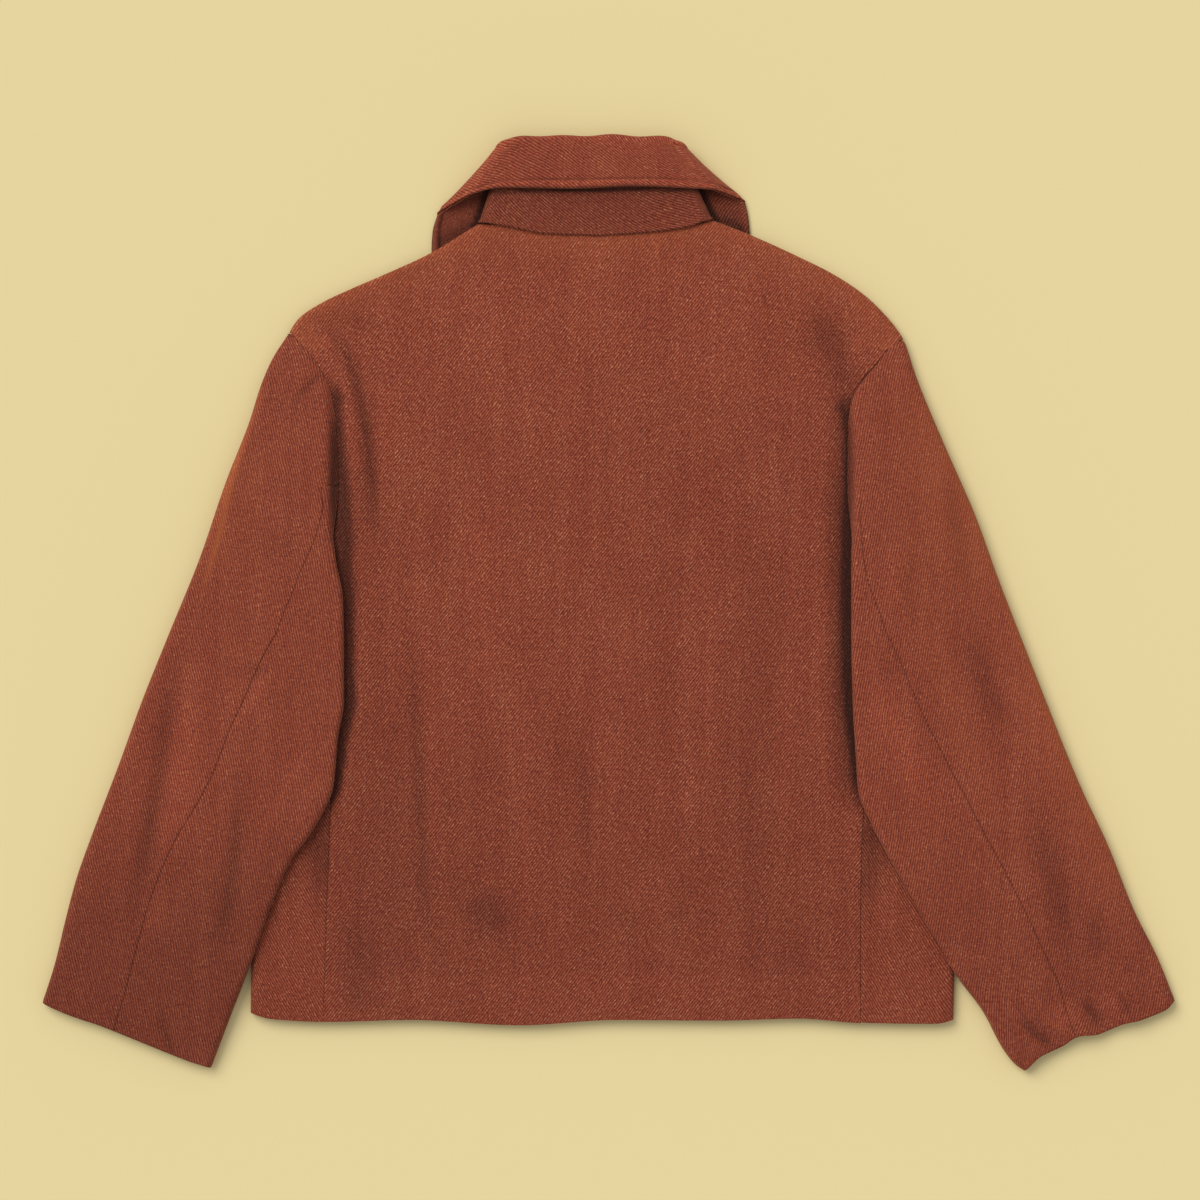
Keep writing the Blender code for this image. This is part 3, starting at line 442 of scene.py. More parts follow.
def smooth(table, value=1):
    """A curve through a table's rows that never overshoots between them."""
    rows = sorted((row[0], row[value]) for row in table)
    keys = np.array([row[0] for row in rows], float)
    values = np.array([row[1] for row in rows], float)
    step = np.diff(keys)
    slope = np.diff(values) / step
    tangent = np.zeros(len(keys))
    same = slope[:-1] * slope[1:] > 0
    first, second = 2 * step[1:] + step[:-1], step[1:] + 2 * step[:-1]
    safe = np.where(same, slope[:-1], 1.0), np.where(same, slope[1:], 1.0)
    tangent[1:-1] = np.where(same, (first + second) / (first / safe[0] + second / safe[1]), 0.0)
    tangent[0], tangent[-1] = slope[0], slope[-1]

    def at(key):
        key = np.clip(np.asarray(key, float), keys[0], keys[-1])
        i = np.clip(np.searchsorted(keys, key) - 1, 0, len(step) - 1)
        t = (key - keys[i]) / step[i]
        return (values[i] * (1 + 2 * t) * (1 - t) ** 2 + values[i + 1] * t * t * (3 - 2 * t)
                + step[i] * (tangent[i] * t * (1 - t) ** 2 - tangent[i + 1] * t * t * (1 - t)))

    return at


def through(keys, points):
    """A smooth curve through points of any dimension, by each point's key."""
    parts = [smooth(list(zip(keys, column))) for column in points.T]
    return lambda key: np.stack([part(key) for part in parts], axis=-1)


def travelled(points):
    """The length from the first row of points to each row."""
    step = np.linalg.norm(np.diff(points, axis=0), axis=-1)
    return np.concatenate([np.zeros((1, *step.shape[1:])), np.cumsum(step, axis=0)])


def path(points):
    """A smooth curve through points of any dimension, by the fraction of its length."""
    points = np.asarray(points, float)
    along = travelled(points)
    return through(along / along[-1], points)


def ease(t):
    t = np.clip(t, 0.0, 1.0)
    return t * t * (3 - 2 * t)


def blend(a, b, t):
    return a + (b - a) * t


def bell(distance, width):
    return np.exp(-(distance / width) ** 2)


def distance_to(line, out, y):
    """Distance in plan to a polyline."""
    out, y = np.broadcast_arrays(np.asarray(out, float), np.asarray(y, float))
    best = np.full(out.shape, 1e9)
    for (ax, ay), (bx, by) in zip(line[:-1], line[1:]):
        dx, dy = bx - ax, by - ay
        t = np.clip(((out - ax) * dx + (y - ay) * dy) / (dx * dx + dy * dy), 0, 1)
        best = np.minimum(best, np.hypot(out - ax - t * dx, y - ay - t * dy))
    return best


def inside(outline, out, y):
    out, y = np.broadcast_arrays(np.asarray(out, float), np.asarray(y, float))
    found = np.zeros(out.shape, bool)
    for (ax, ay), (bx, by) in zip(outline, np.roll(outline, -1, axis=0)):
        crosses = (ay > y) != (by > y)
        found ^= crosses & (out < (bx - ax) * (y - ay) / ((by - ay) or 1e-9) + ax)
    return found


def prepare(side):
    """Adds to a side's tables the curves that its pieces share."""
    for name, table, shift in (("armhole_at", "armhole", 0), ("fold_at", "side_fold", -HALF),
                               ("outer_at", "outer", -HALF), ("inner_at", "inner", HALF)):
        side[name] = smooth([(y, out + shift) for out, y in side[table]])
    side["shoulder_at"] = smooth([(out, y - HALF) for out, y in side["shoulder"]])
    side["tip"] = side["shoulder"][-1][0]
    side["tip_y"] = float(side["shoulder_at"](side["tip"]))
    side["neck"] = side["shoulder"][0][0]
    side["seam_top"] = blend(side["tip_y"], UNDERARM, SEAM_TOP)
    seam = [(y, out) for out, y in side["side_seam"]]
    side["seam_at"] = smooth(seam + [(side["seam_top"], float(side["armhole_at"](side["seam_top"])))])
    steps = np.linspace(side["neck"], side["tip"], LINE_POINTS)
    fold_y = np.linspace(side["side_fold"][0][1] - 10, UNDERARM, LINE_POINTS)
    side["edges"] = (np.stack([steps, side["shoulder_at"](steps)], axis=-1),
                     np.stack([side["fold_at"](fold_y), fold_y], axis=-1))
    under = COLLAR_LEFT_UNDER if side["side"] < 0 else COLLAR_RIGHT_UNDER
    free = [edge[:2] for _, _, edge in under]
    neck = [point[:2] for point, _, _ in reversed(under)]
    side["leaf"] = np.array(free + neck, float)
    side["front_edge"] = side["side"] * FRONT_MIDDLE - FRONT_OVERLAP


def edge_distance(side, out, y):
    return np.minimum(*(distance_to(edge, out, y) for edge in side["edges"]))


def span(y, top, top_fade, foot, foot_fade):
    """One between two values of y, falling to none at each over its own distance."""
    return ease((top - y) / top_fade) * ease((y - foot) / foot_fade)


def ridge(x, y, line, width, top, bottom, height):
    """A soft ridge that follows a line x(y) and fades out at both ends."""
    fade = span(y, top, RIDGE_FADE, bottom, RIDGE_FADE)
    return height * fade * np.exp(-0.5 * ((x - line) / width) ** 2)


def back_level(x, y):
    """Height of the upper layer of the body, away from its folded edges."""
    left_valley = -LEFT["armhole_at"](y)
    right_valley = RIGHT["armhole_at"](y)
    level = BACK + NECK_RISE * np.exp(-((x + 7) / 110) ** 2 - ((y - 290) / 95) ** 2)
    level = level + ridge(x, y, left_valley + 11, **LEFT_RIDGE)
    level = level + ridge(x, y, -150 - 0.27 * y, **SLANT_RIDGE)
    level = level + ridge(x, y, right_valley - 34, **RIGHT_RIDGE)
    return level + crease_offset(BODY_LINES, x, y)


def crease_lines(table):
    """Each crease's width and height, with its route as a smooth line."""
    steps = np.linspace(0, 1, CREASE_STEPS + 1)
    return [(width, height, path(route)(steps)) for width, height, route in table]


BODY_LINES = crease_lines(BODY_CREASES)


def crease_offset(lines, x, y):
    """Height that creases add at points in plan. A crease fades in and out along its route."""
    x, y = np.broadcast_arrays(np.asarray(x, float), np.asarray(y, float))
    total = np.zeros(x.shape)
    for width, height, line in lines:
        low, high = line.min(axis=0) - CREASE_REACH * width, line.max(axis=0) + CREASE_REACH * width
        near = (x > low[0]) & (x < high[0]) & (y > low[1]) & (y < high[1])
        if not near.any():
            continue
        start, step = line[:-1], np.diff(line, axis=0)
        away = np.stack([x[near], y[near]], axis=-1)[:, None, :] - start
        t = np.clip(np.sum(away * step, axis=-1) / np.sum(step * step, axis=-1), 0, 1)
        distance = np.linalg.norm(away - t[..., None] * step, axis=-1)
        best = distance.argmin(axis=1)[:, None]
        along = (best[:, 0] + np.take_along_axis(t, best, 1)[:, 0]) / CREASE_STEPS
        fade = 0.2 + 0.8 * ease(along / 0.3) * ease((1 - along) / 0.3)
        nearest = np.take_along_axis(distance, best, 1)[:, 0]
        total[near] += height * fade * np.exp(-0.5 * (nearest / width) ** 2)
    return total


def leaf_distance(x, y):
    """Distance in plan outside the two collar leaves that lie under the fronts."""
    best = np.full(np.broadcast(x, y).shape, 1e9)
    for side in SIDES.values():
        out = side["side"] * x
        closed = np.concatenate([side["leaf"], side["leaf"][:1]])
        best = np.minimum(best, np.where(inside(side["leaf"], out, y), 0.0, distance_to(closed, out, y)))
    return best


def front_level(side, out, y):
    """Height of the lower layer of the body, away from its folded edges."""
    x = side["side"] * out
    level = FLOOR + LEAF_LIFT * (1 - ease((leaf_distance(x, y) - LEAF_MARGIN) / LEAF_SLOPE))
    if side["side"] < 0:
        past = x - FRONT_MIDDLE + OVERLAP_LEVEL + OVERLAP_SLOPE
        level = level + OVERLAP_LIFT * ease(past / OVERLAP_SLOPE)
    return level


def body_height(side, out, y, upper):
    """Height of the body's cloth, rounded down or up to the middle at the folded edges."""
    top = back_level(side["side"] * out, y)
    bottom = front_level(side, out, y)
    middle = (top + bottom) / 2
    t = np.clip((edge_distance(side, out, y) - EDGE_TOLERANCE) / SIDE_ROUND, 0, 1)
    share = np.sqrt(1 - (1 - t) ** 2)
    return middle + (top - middle if upper else bottom - middle) * share


def hem_at(side, out):
    return smooth(HEM)(side["side"] * out)


def body_edge(side, y):
    """Outer edge of the floor layer: the side fold, then the armhole."""
    return np.where(y <= UNDERARM, side["fold_at"](y), side["armhole_at"](y) - SEAM / 2)


def back_edge(side, y):
    """Outer edge of the back: the side seam, then the armhole."""
    edge = np.where(y <= side["seam_top"], side["seam_at"](y), side["armhole_at"](y))
    return np.where(y >= side["tip_y"], side["tip"], edge) - SEAM / 2


def rows_up(rows, low, top):
    """Points at rows 0 to 1 from the hem to the underarm, and 1 to 2 from there to the top edge."""
    return np.where(rows <= 1, blend(low, UNDERARM, rows), blend(UNDERARM, top, rows - 1))


def back_sheet(columns, rows):
    """The back, from seam to seam (columns 0 to 1) and from hem to top edge (rows 0 to 2)."""
    columns, rows = np.asarray(columns)[None, :], np.asarray(rows)[:, None]
    left_tip, right_tip = -LEFT["tip"], RIGHT["tip"]
    x_top = left_tip + columns * (right_tip - left_tip)
    neck = smooth(BACK_NECK)(x_top)
    top = np.where(x_top < -LEFT["neck"], LEFT["shoulder_at"](-x_top),
                   np.where(x_top > RIGHT["neck"], RIGHT["shoulder_at"](x_top), neck))
    low = smooth(HEM)(x_top * 0.9)
    y = rows_up(rows, low, top)
    x = blend(-back_edge(LEFT, y), back_edge(RIGHT, y), columns)
    z = np.where(x < 0, body_height(LEFT, -x, y, True), body_height(RIGHT, x, y, True))
    folded = (x_top < -LEFT["neck"]) | (x_top > RIGHT["neck"])
    z = z + np.where((rows > 2 - 1e-6) & folded, SHOULDER_GAP, 0)
    return np.stack([x, y, z], axis=-1)


def front_sheet(side, columns, rows):
    """The floor layer of a front, from its outer edge (column 0) to the centre front (column 1)."""
    columns, rows = np.asarray(columns)[None, :], np.asarray(rows)[:, None]
    out_top = blend(side["tip"], side["front_edge"], columns)
    neck = smooth([(out, y) for out, y in side["front_neck"]])(out_top)
    top = np.where(out_top > side["neck"], side["shoulder_at"](out_top), neck)
    low = hem_at(side, blend(side["fold_at"](-300), side["front_edge"], columns)) + 2.0 * ease(columns * 8)
    y = rows_up(rows, low, top)
    out = blend(body_edge(side, y), side["front_edge"], columns)
    z = body_height(side, out, y, False)
    at_shoulder = (rows > 2 - 1e-6) & (out_top > side["neck"])
    return np.stack([side["side"] * out, y, z - np.where(at_shoulder, SHOULDER_GAP, 0)], axis=-1)


def strip_sheet(side, columns, heights):
    """The part of a front that comes round the side fold, up to the side seam on the back."""
    columns, y_edge = np.asarray(columns)[None, :], np.asarray(heights)[:, None]
    start = np.where(y_edge <= UNDERARM, side["fold_at"](y_edge), side["armhole_at"](y_edge))
    end = side["seam_at"](y_edge) + SEAM / 2
    out = blend(start, end, columns)
    rise = 1 - ease((y_edge - heights[0]) / 200)
    y = y_edge + rise * (hem_at(side, out) - hem_at(side, start))
    z = body_height(side, out, y, True)
    return np.stack([side["side"] * out, y, z], axis=-1)


def sleeve_frames(side):
    """Each row's inner point, outer point and row number, from the shoulder tip to the cuff."""
    frames = []
    for fraction in CAP_ROWS:
        y = blend(side["tip_y"], UNDERARM, fraction)
        inner = float(side["inner_at"](y)) if y < side["inner"][-1][1] else float(side["armhole_at"](y)) + 2
        frames.append((np.array([inner, y]), np.array([float(side["outer_at"](y)), y]), -y / 1000))
    edges = []
    for name in ("inner", "outer"):
        y = np.linspace(UNDERARM, side[name][0][1], LINE_POINTS)
        edges.append(path(np.stack([side[name + "_at"](y), y], axis=-1)))
    for fraction in ARM_ROWS:
        frames.append((*[edge(fraction) for edge in edges], blend(UNDERARM_ROW, 1.0, fraction)))
    return frames


def crossing(side, inner, step, width):
    """How far along a row the body's side fold lies, from the sleeve's inner edge."""
    p = 0.4 * width
    for _ in range(CROSSING_STEPS):
        y = inner[1] + p * step[1]
        p += 0.7 * (float(side["fold_at"](y)) - inner[0] - p * step[0])
    return p


def turn_between(start, end, start_pull, end_pull):
    """A rounded turn of a profile between two points at which the cloth lies level."""
    t = np.linspace(0, 1, TURN_POINTS)[:, None]
    start_handle = np.array((start[0] + start_pull, start[1]))
    end_handle = np.array((end[0] + end_pull, end[1]))
    return ((1 - t) ** 3 * np.array(start) + 3 * t * (1 - t) ** 2 * start_handle
            + 3 * t * t * (1 - t) * end_handle + t ** 3 * np.array(end))


def level_part(start, end, height):
    """A part of a profile between two distances from the inner edge."""
    p = np.linspace(start, end, LINE_POINTS)
    return np.stack([p, height(p)], axis=-1)


class SleeveRow:
    """One row across a sleeve, with its profile as distance from the inner edge and height."""

    def __init__(self, side, inner, outer, number):
        self.side, self.inner, self.number = side, inner, number
        self.width = float(np.linalg.norm(outer - inner))
        self.step = (outer - inner) / self.width
        self.y = float(inner[1])
        self.on_cap = number < UNDERARM_ROW
        self.heights = [float(smooth(SLEEVE_HEIGHTS, value)(number)) for value in (1, 2)]
        self.inner_round = min(INNER_ROUND, 0.3 * self.width)
        self.outer_round = min(OUTER_ROUND, 0.4 * self.width)
        if self.on_cap:
            self.edge = float(side["armhole_at"](self.y)) - inner[0]
            self.near = ease((self.y - UNDERARM) / UNDERARM_EASE)
        else:
            self.edge = crossing(side, inner, self.step, self.width)
            self.near = 0.0

    def high(self, p):
        """Height of the upper layer."""
        across = np.clip(p / self.width, 0, 1)
        buckle = self.side["cuff_buckle"] * ease((self.number - CUFF_START) / (1 - CUFF_START))
        wave = np.sin(2 * np.pi * CUFF_WAVES * across) * np.sin(np.pi * across)
        return blend(*self.heights, ease(p / self.width)) + buckle * wave

    def low(self, p):
        """Height of the lower layer, which lies on the body and then comes down to the surface."""
        x, y = self.inner[0] + p * self.step[0], self.inner[1] + p * self.step[1]
        on_body = back_level(self.side["side"] * x, y) + SLEEVE_LIFT
        slope = 0.5 - 0.5 * np.cos(np.pi * np.clip((p - self.edge - RAMP_START) / RAMP, 0, 1))
        return blend(on_body, FLOOR, slope)

    def floor(self, p):
        """Height of the lower layer past the body, which meets the front's armhole on the cap."""
        if not self.on_cap:
            return self.low(p)
        front = float(body_height(self.side, self.edge + self.inner[0], self.y, False))
        flat = FLOOR + (front - FLOOR) * (1 - ease((p - self.edge) / 9))
        return blend(self.low(p), flat, self.near)

    def front_seam(self):
        """Where the under sleeve and the top sleeve end on the lower layer."""
        middle = RAMP * 0.45
        if self.on_cap:
            top_end = blend(middle + SLEEVE_GAP, SLEEVE_GAP, self.near)
            return self.edge + middle * (1 - self.near), self.edge + top_end
        past = ease((UNDERARM - self.y) / 16)
        split = blend(self.edge + middle, max(0.52 * self.width, self.edge + RAMP + 6), past)
        return split - SLEEVE_GAP / 2, split + SLEEVE_GAP / 2

    def inner_parts(self, under_end):
        """The lower layer from the front seam, in two parts, and the turn at the inner edge."""
        top = (self.inner_round, self.high(self.inner_round))
        pull = ROUND_HANDLE * self.inner_round
        if self.on_cap and self.edge < self.inner_round + 0.1:
            lifted = ease((VALLEY_TOP - self.y) / (VALLEY_TOP - VALLEY_FOOT))
            height = float(body_height(self.side, self.edge + self.inner[0], self.y, True))
            foot = self.edge + ARMHOLE_GAP * (1 - lifted)
            gap = self.inner_round - foot
            turn = ease(gap / (1.5 * INNER_ROUND))
            head = turn_between((foot, height + SLEEVE_LIFT * lifted), top,
                                -blend(pull, -0.5 * gap, turn), -blend(pull, 0.5 * gap, turn))
            return head[:1], head[:1], head
        level = np.clip(self.edge + 0.5, self.inner_round, under_end - 0.3)
        lower = level_part(under_end, level, self.low)
        flat = level_part(level, self.inner_round, self.low)
        return lower, flat, turn_between(flat[-1], top, -pull, -pull)

    def outer_parts(self, top_end):
        """The upper layer, the turn at the outer edge, and the lower layer back to the front seam."""
        start = self.width - self.outer_round
        upper = level_part(self.inner_round, start, self.high)
        pull = ROUND_HANDLE * self.outer_round
        fold = turn_between(upper[-1], (start, float(self.floor(np.array(start)))), pull, pull)
        return upper, fold, level_part(start, min(top_end, start - 0.1), self.floor)

    def sleeves(self):
        """The parts of the under sleeve, where it has this row, and those of the top sleeve."""
        under_end, top_end = self.front_seam()
        lower, flat, head = self.inner_parts(under_end)
        upper, fold, tail = self.outer_parts(top_end)
        early = self.side["back_seam"][0][0] - self.number
        if early > TUCK:
            return None, [head, upper, fold, tail]
        seam = max(float(smooth(self.side["back_seam"])(self.number)) * self.width, self.inner_round + 0.6)
        at_seam = float(self.high(np.array(seam)))
        before = np.concatenate([upper[upper[:, 0] < seam - SEAM], [(seam - SLEEVE_GAP / 2, at_seam)]])
        after = np.concatenate([[(seam + SLEEVE_GAP / 2, at_seam)], upper[upper[:, 0] > seam + SEAM]])
        if early > 0:
            return [part - (0, TUCK_DEPTH) for part in (lower, flat, head, before)], [head, upper, fold, tail]
        return [lower, flat, head, before], [after[:1], after, fold, tail]


def resample(parts, counts, least=0.45):
    """Points along joined parts, with each part's own number of steps."""
    joined = np.concatenate(parts)
    along = travelled(joined)
    total = along[-1]
    least = min(least, 0.7 * total / sum(counts))
    marks = np.concatenate([[0.0], along[np.cumsum([len(part) for part in parts]) - 1]])
    for i, count in enumerate(counts):
        marks[i + 1] = max(marks[i + 1], marks[i] + count * least)
    marks[-1] = total
    for i in range(len(counts) - 1, 0, -1):
        marks[i] = min(marks[i], marks[i + 1] - counts[i] * least)
    wanted = [0.0]
    for i, count in enumerate(counts):
        wanted += list(np.linspace(marks[i], marks[i + 1], count + 1)[1:])
    first, last = wanted[1] - wanted[0], wanted[-1] - wanted[-2]
    near = np.array(SEAM_STEPS)
    fit = 0.9 / near[-1]
    head, tail = near * min(1, fit * first), total - near[::-1] * min(1, fit * last)
    wanted = [0.0, *head, *wanted[1:-1], *tail, total]
    keep = np.concatenate([[True], np.diff(along) > 1e-9])
    return np.stack([np.interp(wanted, along[keep], joined[keep, k]) for k in (0, 1)], axis=-1)


def sleeve_sheets(side):
    """The under sleeve's and the top sleeve's sheets."""
    sheets = {"under": [], "top": []}
    edge = smooth(side["cuff_edge"])
    for frame in sleeve_frames(side):
        row = SleeveRow(side, *frame)
        axis = np.array([-row.step[1], row.step[0]])
        for name, parts, counts in zip(("under", "top"), row.sleeves(), (UNDER_STEPS, TOP_STEPS)):
            if parts is None:
                continue
            profile = resample(parts, counts)
            pull = edge(profile[:, 0] / row.width) * ease((row.number - CUFF_START) / (1 - CUFF_START))
            plan = row.inner + profile[:, :1] * row.step + pull[:, None] * axis
            sheets[name].append(np.column_stack([side["side"] * plan[:, 0], plan[:, 1], profile[:, 1]]))
    return {name: np.array(rows) for name, rows in sheets.items()}


def collar_stations(side_name, steps):
    """Neck edge, roll and free edge of half a collar, from the centre back to the centre front."""
    side = SIDES[side_name]["side"]
    top = COLLAR_LEFT_TOP if side < 0 else COLLAR_RIGHT_TOP
    under = COLLAR_LEFT_UNDER if side < 0 else COLLAR_RIGHT_UNDER
    middle = [tuple((side * -6.0, *point[1:]) for point in COLLAR_BACK[0])]
    stations = []
    for k, bulge in enumerate(COLLAR_TURN):
        line = [row[k] for row in middle + top]
        a, b = np.array(top[-1][k], float), np.array(under[0][k], float)
        for angle in COLLAR_TURN_ANGLES:
            point = blend(a, b, (1 - np.cos(angle)) / 2)
            line.append(tuple(point + np.array([bulge, 0, 0]) * np.sin(angle)))
        line += [row[k] for row in under]
        stations.append(np.array(line, float))
    spread = np.linspace(0, 1, len(stations[0]))
    out = []
    for line in stations:
        values = through(spread, line)(steps)
        values[:, 0] *= side
        out.append(values)
    angle_rows = [0.0] * (1 + len(top)) + list(COLLAR_TURN_ANGLES) + [np.pi] * len(under)
    angle = smooth(list(zip(spread, angle_rows)))(steps)
    outward = np.column_stack([side * np.sin(angle), np.zeros_like(angle), np.cos(angle)])
    return out, outward


def collar_sheet(steps, stand, fold, fall):
    """The collar's middle surface and its outward side, from the left front end to the right one."""
    left, left_out = collar_stations("left", np.asarray(steps)[::-1])
    right, right_out = collar_stations("right", np.asarray(steps))
    neck, roll, edge = (np.concatenate([a, b[1:]]) for a, b in zip(left, right))
    outward = np.concatenate([left_out, right_out[1:]])
    along = np.gradient(roll, axis=0)
    along /= np.linalg.norm(along, axis=1)[:, None]
    outward -= np.sum(outward * along, axis=1)[:, None] * along
    outward /= np.linalg.norm(outward, axis=1)[:, None]
    tip = -np.cross(along, outward)
    rows = []
    for t in np.linspace(0, 1, stand + 1)[:-1]:
        rows.append(blend(neck, roll - ROLL * outward, t))
    for angle in np.linspace(0, np.pi, fold + 1):
        rows.append(roll + ROLL * (-np.cos(angle) * outward + np.sin(angle) * tip))
    for t in np.linspace(0, 1, fall + 1)[1:]:
        rows.append(blend(roll + ROLL * outward, edge, t))
    return np.array(rows)


def normals_of(sheet):
    across = np.gradient(sheet, axis=1)
    down = np.gradient(sheet, axis=0)
    normal = np.cross(across, down)
    return normal / np.maximum(np.linalg.norm(normal, axis=-1)[..., None], 1e-9)


def spaced(length, step):
    """Fractions of a length, close together at both ends and a step apart between them."""
    near = EDGE_STEPS
    count = max(2, int(round((length - 2 * near[-1]) / step)))
    middle = np.linspace(near[-1], length - near[-1], count + 1)[1:-1]
    return np.concatenate([near, middle, [length - d for d in reversed(near)]]) / length


def grain(sheet, column, reach):
    """Places in the uncut cloth: a row's own place in plan, and from there the length along the row."""
    along = travelled(sheet.swapaxes(0, 1)).T
    along = along - along[:, [column]]
    direction = sheet[:, column + reach, :2] - sheet[:, column, :2]
    direction /= np.linalg.norm(direction, axis=1)[:, None] * np.sign(reach)
    return sheet[:, [column], :2] + along[..., None] * direction[:, None, :]


def add_object(name, data):
    obj = bpy.data.objects.new(name, data)
    bpy.context.scene.collection.objects.link(obj)
    return obj


class Cloth:
    """The middle surface of one piece, joined from grids, with a place in the uncut cloth for each corner."""

    def __init__(self, grids):
        points, faces, places = [], [], []
        start = 0
        for sheet, place in grids:
            rows, columns = sheet.shape[:2]
            index = start + np.arange(rows * columns).reshape(rows, columns)
            quads = np.stack([index[:-1, :-1], index[:-1, 1:], index[1:, 1:], index[1:, :-1]], axis=-1)
            points.append(sheet.reshape(-1, 3))
            places.append(place.reshape(-1, 2))
            faces.append(quads.reshape(-1, 4))
            start += rows * columns
        points = np.concatenate(points)
        self.corners = np.concatenate(faces)
        self.places = np.concatenate(places)
        _, first, weld = np.unique(np.round(points / 0.01).astype(int), axis=0,
                                   return_index=True, return_inverse=True)
        self.first = first
        self.points = points[first]
        self.faces = weld.reshape(-1)[self.corners]
        self.find_border()
        self.normals = self.smooth_normals()
        self.seam_painted_shade = np.ones(len(self.points))

    def find_border(self):
        """Finds the points on open edges, and each point's distance to the nearest of them."""
        ends = np.concatenate([self.faces[:, [k, (k + 1) % 4]] for k in range(4)])
        _, again, uses = np.unique(np.sort(ends, axis=1), axis=0, return_inverse=True, return_counts=True)
        self.border = np.unique(ends[uses[again.reshape(-1)] == 1])
        tree = kdtree.KDTree(len(self.border))
        for i in self.border:
            tree.insert(Vector(self.points[i]), int(i))
        tree.balance()
        found = [tree.find(Vector(point)) for point in self.points]
        self.nearest = np.array([hit[1] for hit in found])
        self.to_border = np.array([hit[2] for hit in found])

    def smooth_normals(self):
        corner = self.points[self.faces]
        face = np.cross(corner[:, 2] - corner[:, 0], corner[:, 3] - corner[:, 1])
        normals = np.zeros_like(self.points)
        for k in range(4):
            np.add.at(normals, self.faces[:, k], face)
        return normals / np.maximum(np.linalg.norm(normals, axis=1)[:, None], 1e-9)

    def face(self, chosen, up):
        """Turns the cloth over, if need be, so that the chosen points face up or down."""
        if (self.normals[chosen, 2].mean() > 0) == up:
            return
        self.faces = self.faces[:, ::-1]
        self.corners = self.corners[:, ::-1]
        self.normals = -self.normals

    def shift(self, offset):
        """Moves the cloth along its normals, then works them out again."""
        self.points = self.points + offset[:, None] * self.normals
        self.normals = self.smooth_normals()

    def finish_seams(self, is_hem):
        """Sinks the cloth a little along its sewn edges. Hems stay level."""
        sewn = ~is_hem(self.points[self.nearest])
        groove = bell(self.to_border, SEAM_WIDTH)
        swell = SEAM_SWELL * bell(self.to_border - SWELL_PLACE, SWELL_WIDTH)
        # Painted shade in each seam's groove
        self.seam_painted_shade = np.where(sewn, 1 - SEAM_PAINTED_SHADE * groove, 1.0)
        self.shift(np.where(sewn, swell - SEAM_SINK * groove, 0.0))

    def build(self, name, thickness, tone, glow):
        """A closed shell, rounded at its edges, with its places in the cloth as texture coordinates."""
        tone = np.clip(tone * self.seam_painted_shade, MIN_TONE, MAX_TONE)
        share = np.clip(self.to_border / EDGE_ROUND, 0, 1)
        half = thickness / 2 * np.sqrt(1 - (1 - share) ** 2)
        top = self.points + half[:, None] * self.normals
        inner = np.setdiff1d(np.arange(len(self.points)), self.border)
        below = np.arange(len(self.points))
        below[inner] = len(self.points) + np.arange(len(inner))
        bottom = (self.points - half[:, None] * self.normals)[inner]
        verts = np.concatenate([top, bottom]) * MM
        verts[:, 2] = np.maximum(verts[:, 2], 0.0)
        faces = np.concatenate([self.faces, below[self.faces][:, ::-1]])
        places = np.concatenate([self.places[self.corners], self.places[self.corners][:, ::-1]])
        mesh = bpy.data.meshes.new(name)
        mesh.from_pydata(verts.tolist(), [], faces.tolist())
        layer = mesh.uv_layers.new(name="grain")
        layer.data.foreach_set("uv", (places.reshape(-1) * MM).astype(np.float32))
        # The first attribute scales the colour with painted light and shade and some plain tone; the second
        # mixes in painted sheen highlights
        for label, values in (("tone", tone), ("glow", glow)):
            attribute = mesh.attributes.new(label, "FLOAT", "POINT")
            attribute.data.foreach_set("value", np.concatenate([values, values[inner]]).astype(np.float32))
        mesh.shade_smooth()
        return add_object(name, mesh)


def upward(cloth):
    """How far the cloth's outer side faces up, from 0 to 1."""
    return np.clip(cloth.normals[:, 2] * 1.6, 0, 1)


def lift(cloth, amount):
    cloth.points[:, 2] += amount
    cloth.normals = cloth.smooth_normals()


def valley(distance, width, tail):
    """Mask of the painted shade in a valley that starts at a sleeve's edge: one there, falling to none past
    its width.
    """
    return (distance > -2) * (1 - ease((distance - 0.75 * width) / (0.4 * width + tail)))


def body_tone_and_painted_shade(x, y):
    """Tone of the body's cloth, lighter at the shoulders, with painted shade deep in the valleys beside the
    sleeves, in soft vertical bands and in the creases, and painted light on the creases' ridges.
    """
    left = np.where(y > 150, LEFT["armhole_at"](y), LEFT["inner_at"](y))
    right = np.where(y > 145, RIGHT["armhole_at"](y), RIGHT["inner_at"](y))
    tone = np.ones(np.shape(x))
    for start, distance, amount in BODY_SHADES:
        tone = tone + amount * ease((y - start) / distance)
    for middle, width, top, depth in PAINTED_SHADE_BANDS:
        tone = tone - depth * bell(x - middle, width) * ease((top - y) / 90)
    dark = LEFT_VALLEY_DARK * valley(x + left, smooth(LEFT_VALLEY_SHADE_WIDTHS)(y), 2)
    tone = tone - dark * span(y, *VALLEY_SPANS["left"])
    dark = RIGHT_VALLEY_DARK * valley(right - x, smooth(RIGHT_VALLEY_SHADE_WIDTHS)(y), 3)
    dark = dark + RIGHT_VALLEY_FADE * valley(right - x, 6, 17)
    tone = tone - dark * span(y, *VALLEY_SPANS["right"])
    tone = tone + CREASE_PAINTED_LIGHT_AND_SHADE * crease_offset(BODY_LINES, x, y)
    return tone + 0.04 * ease((-278 - y) / 4)


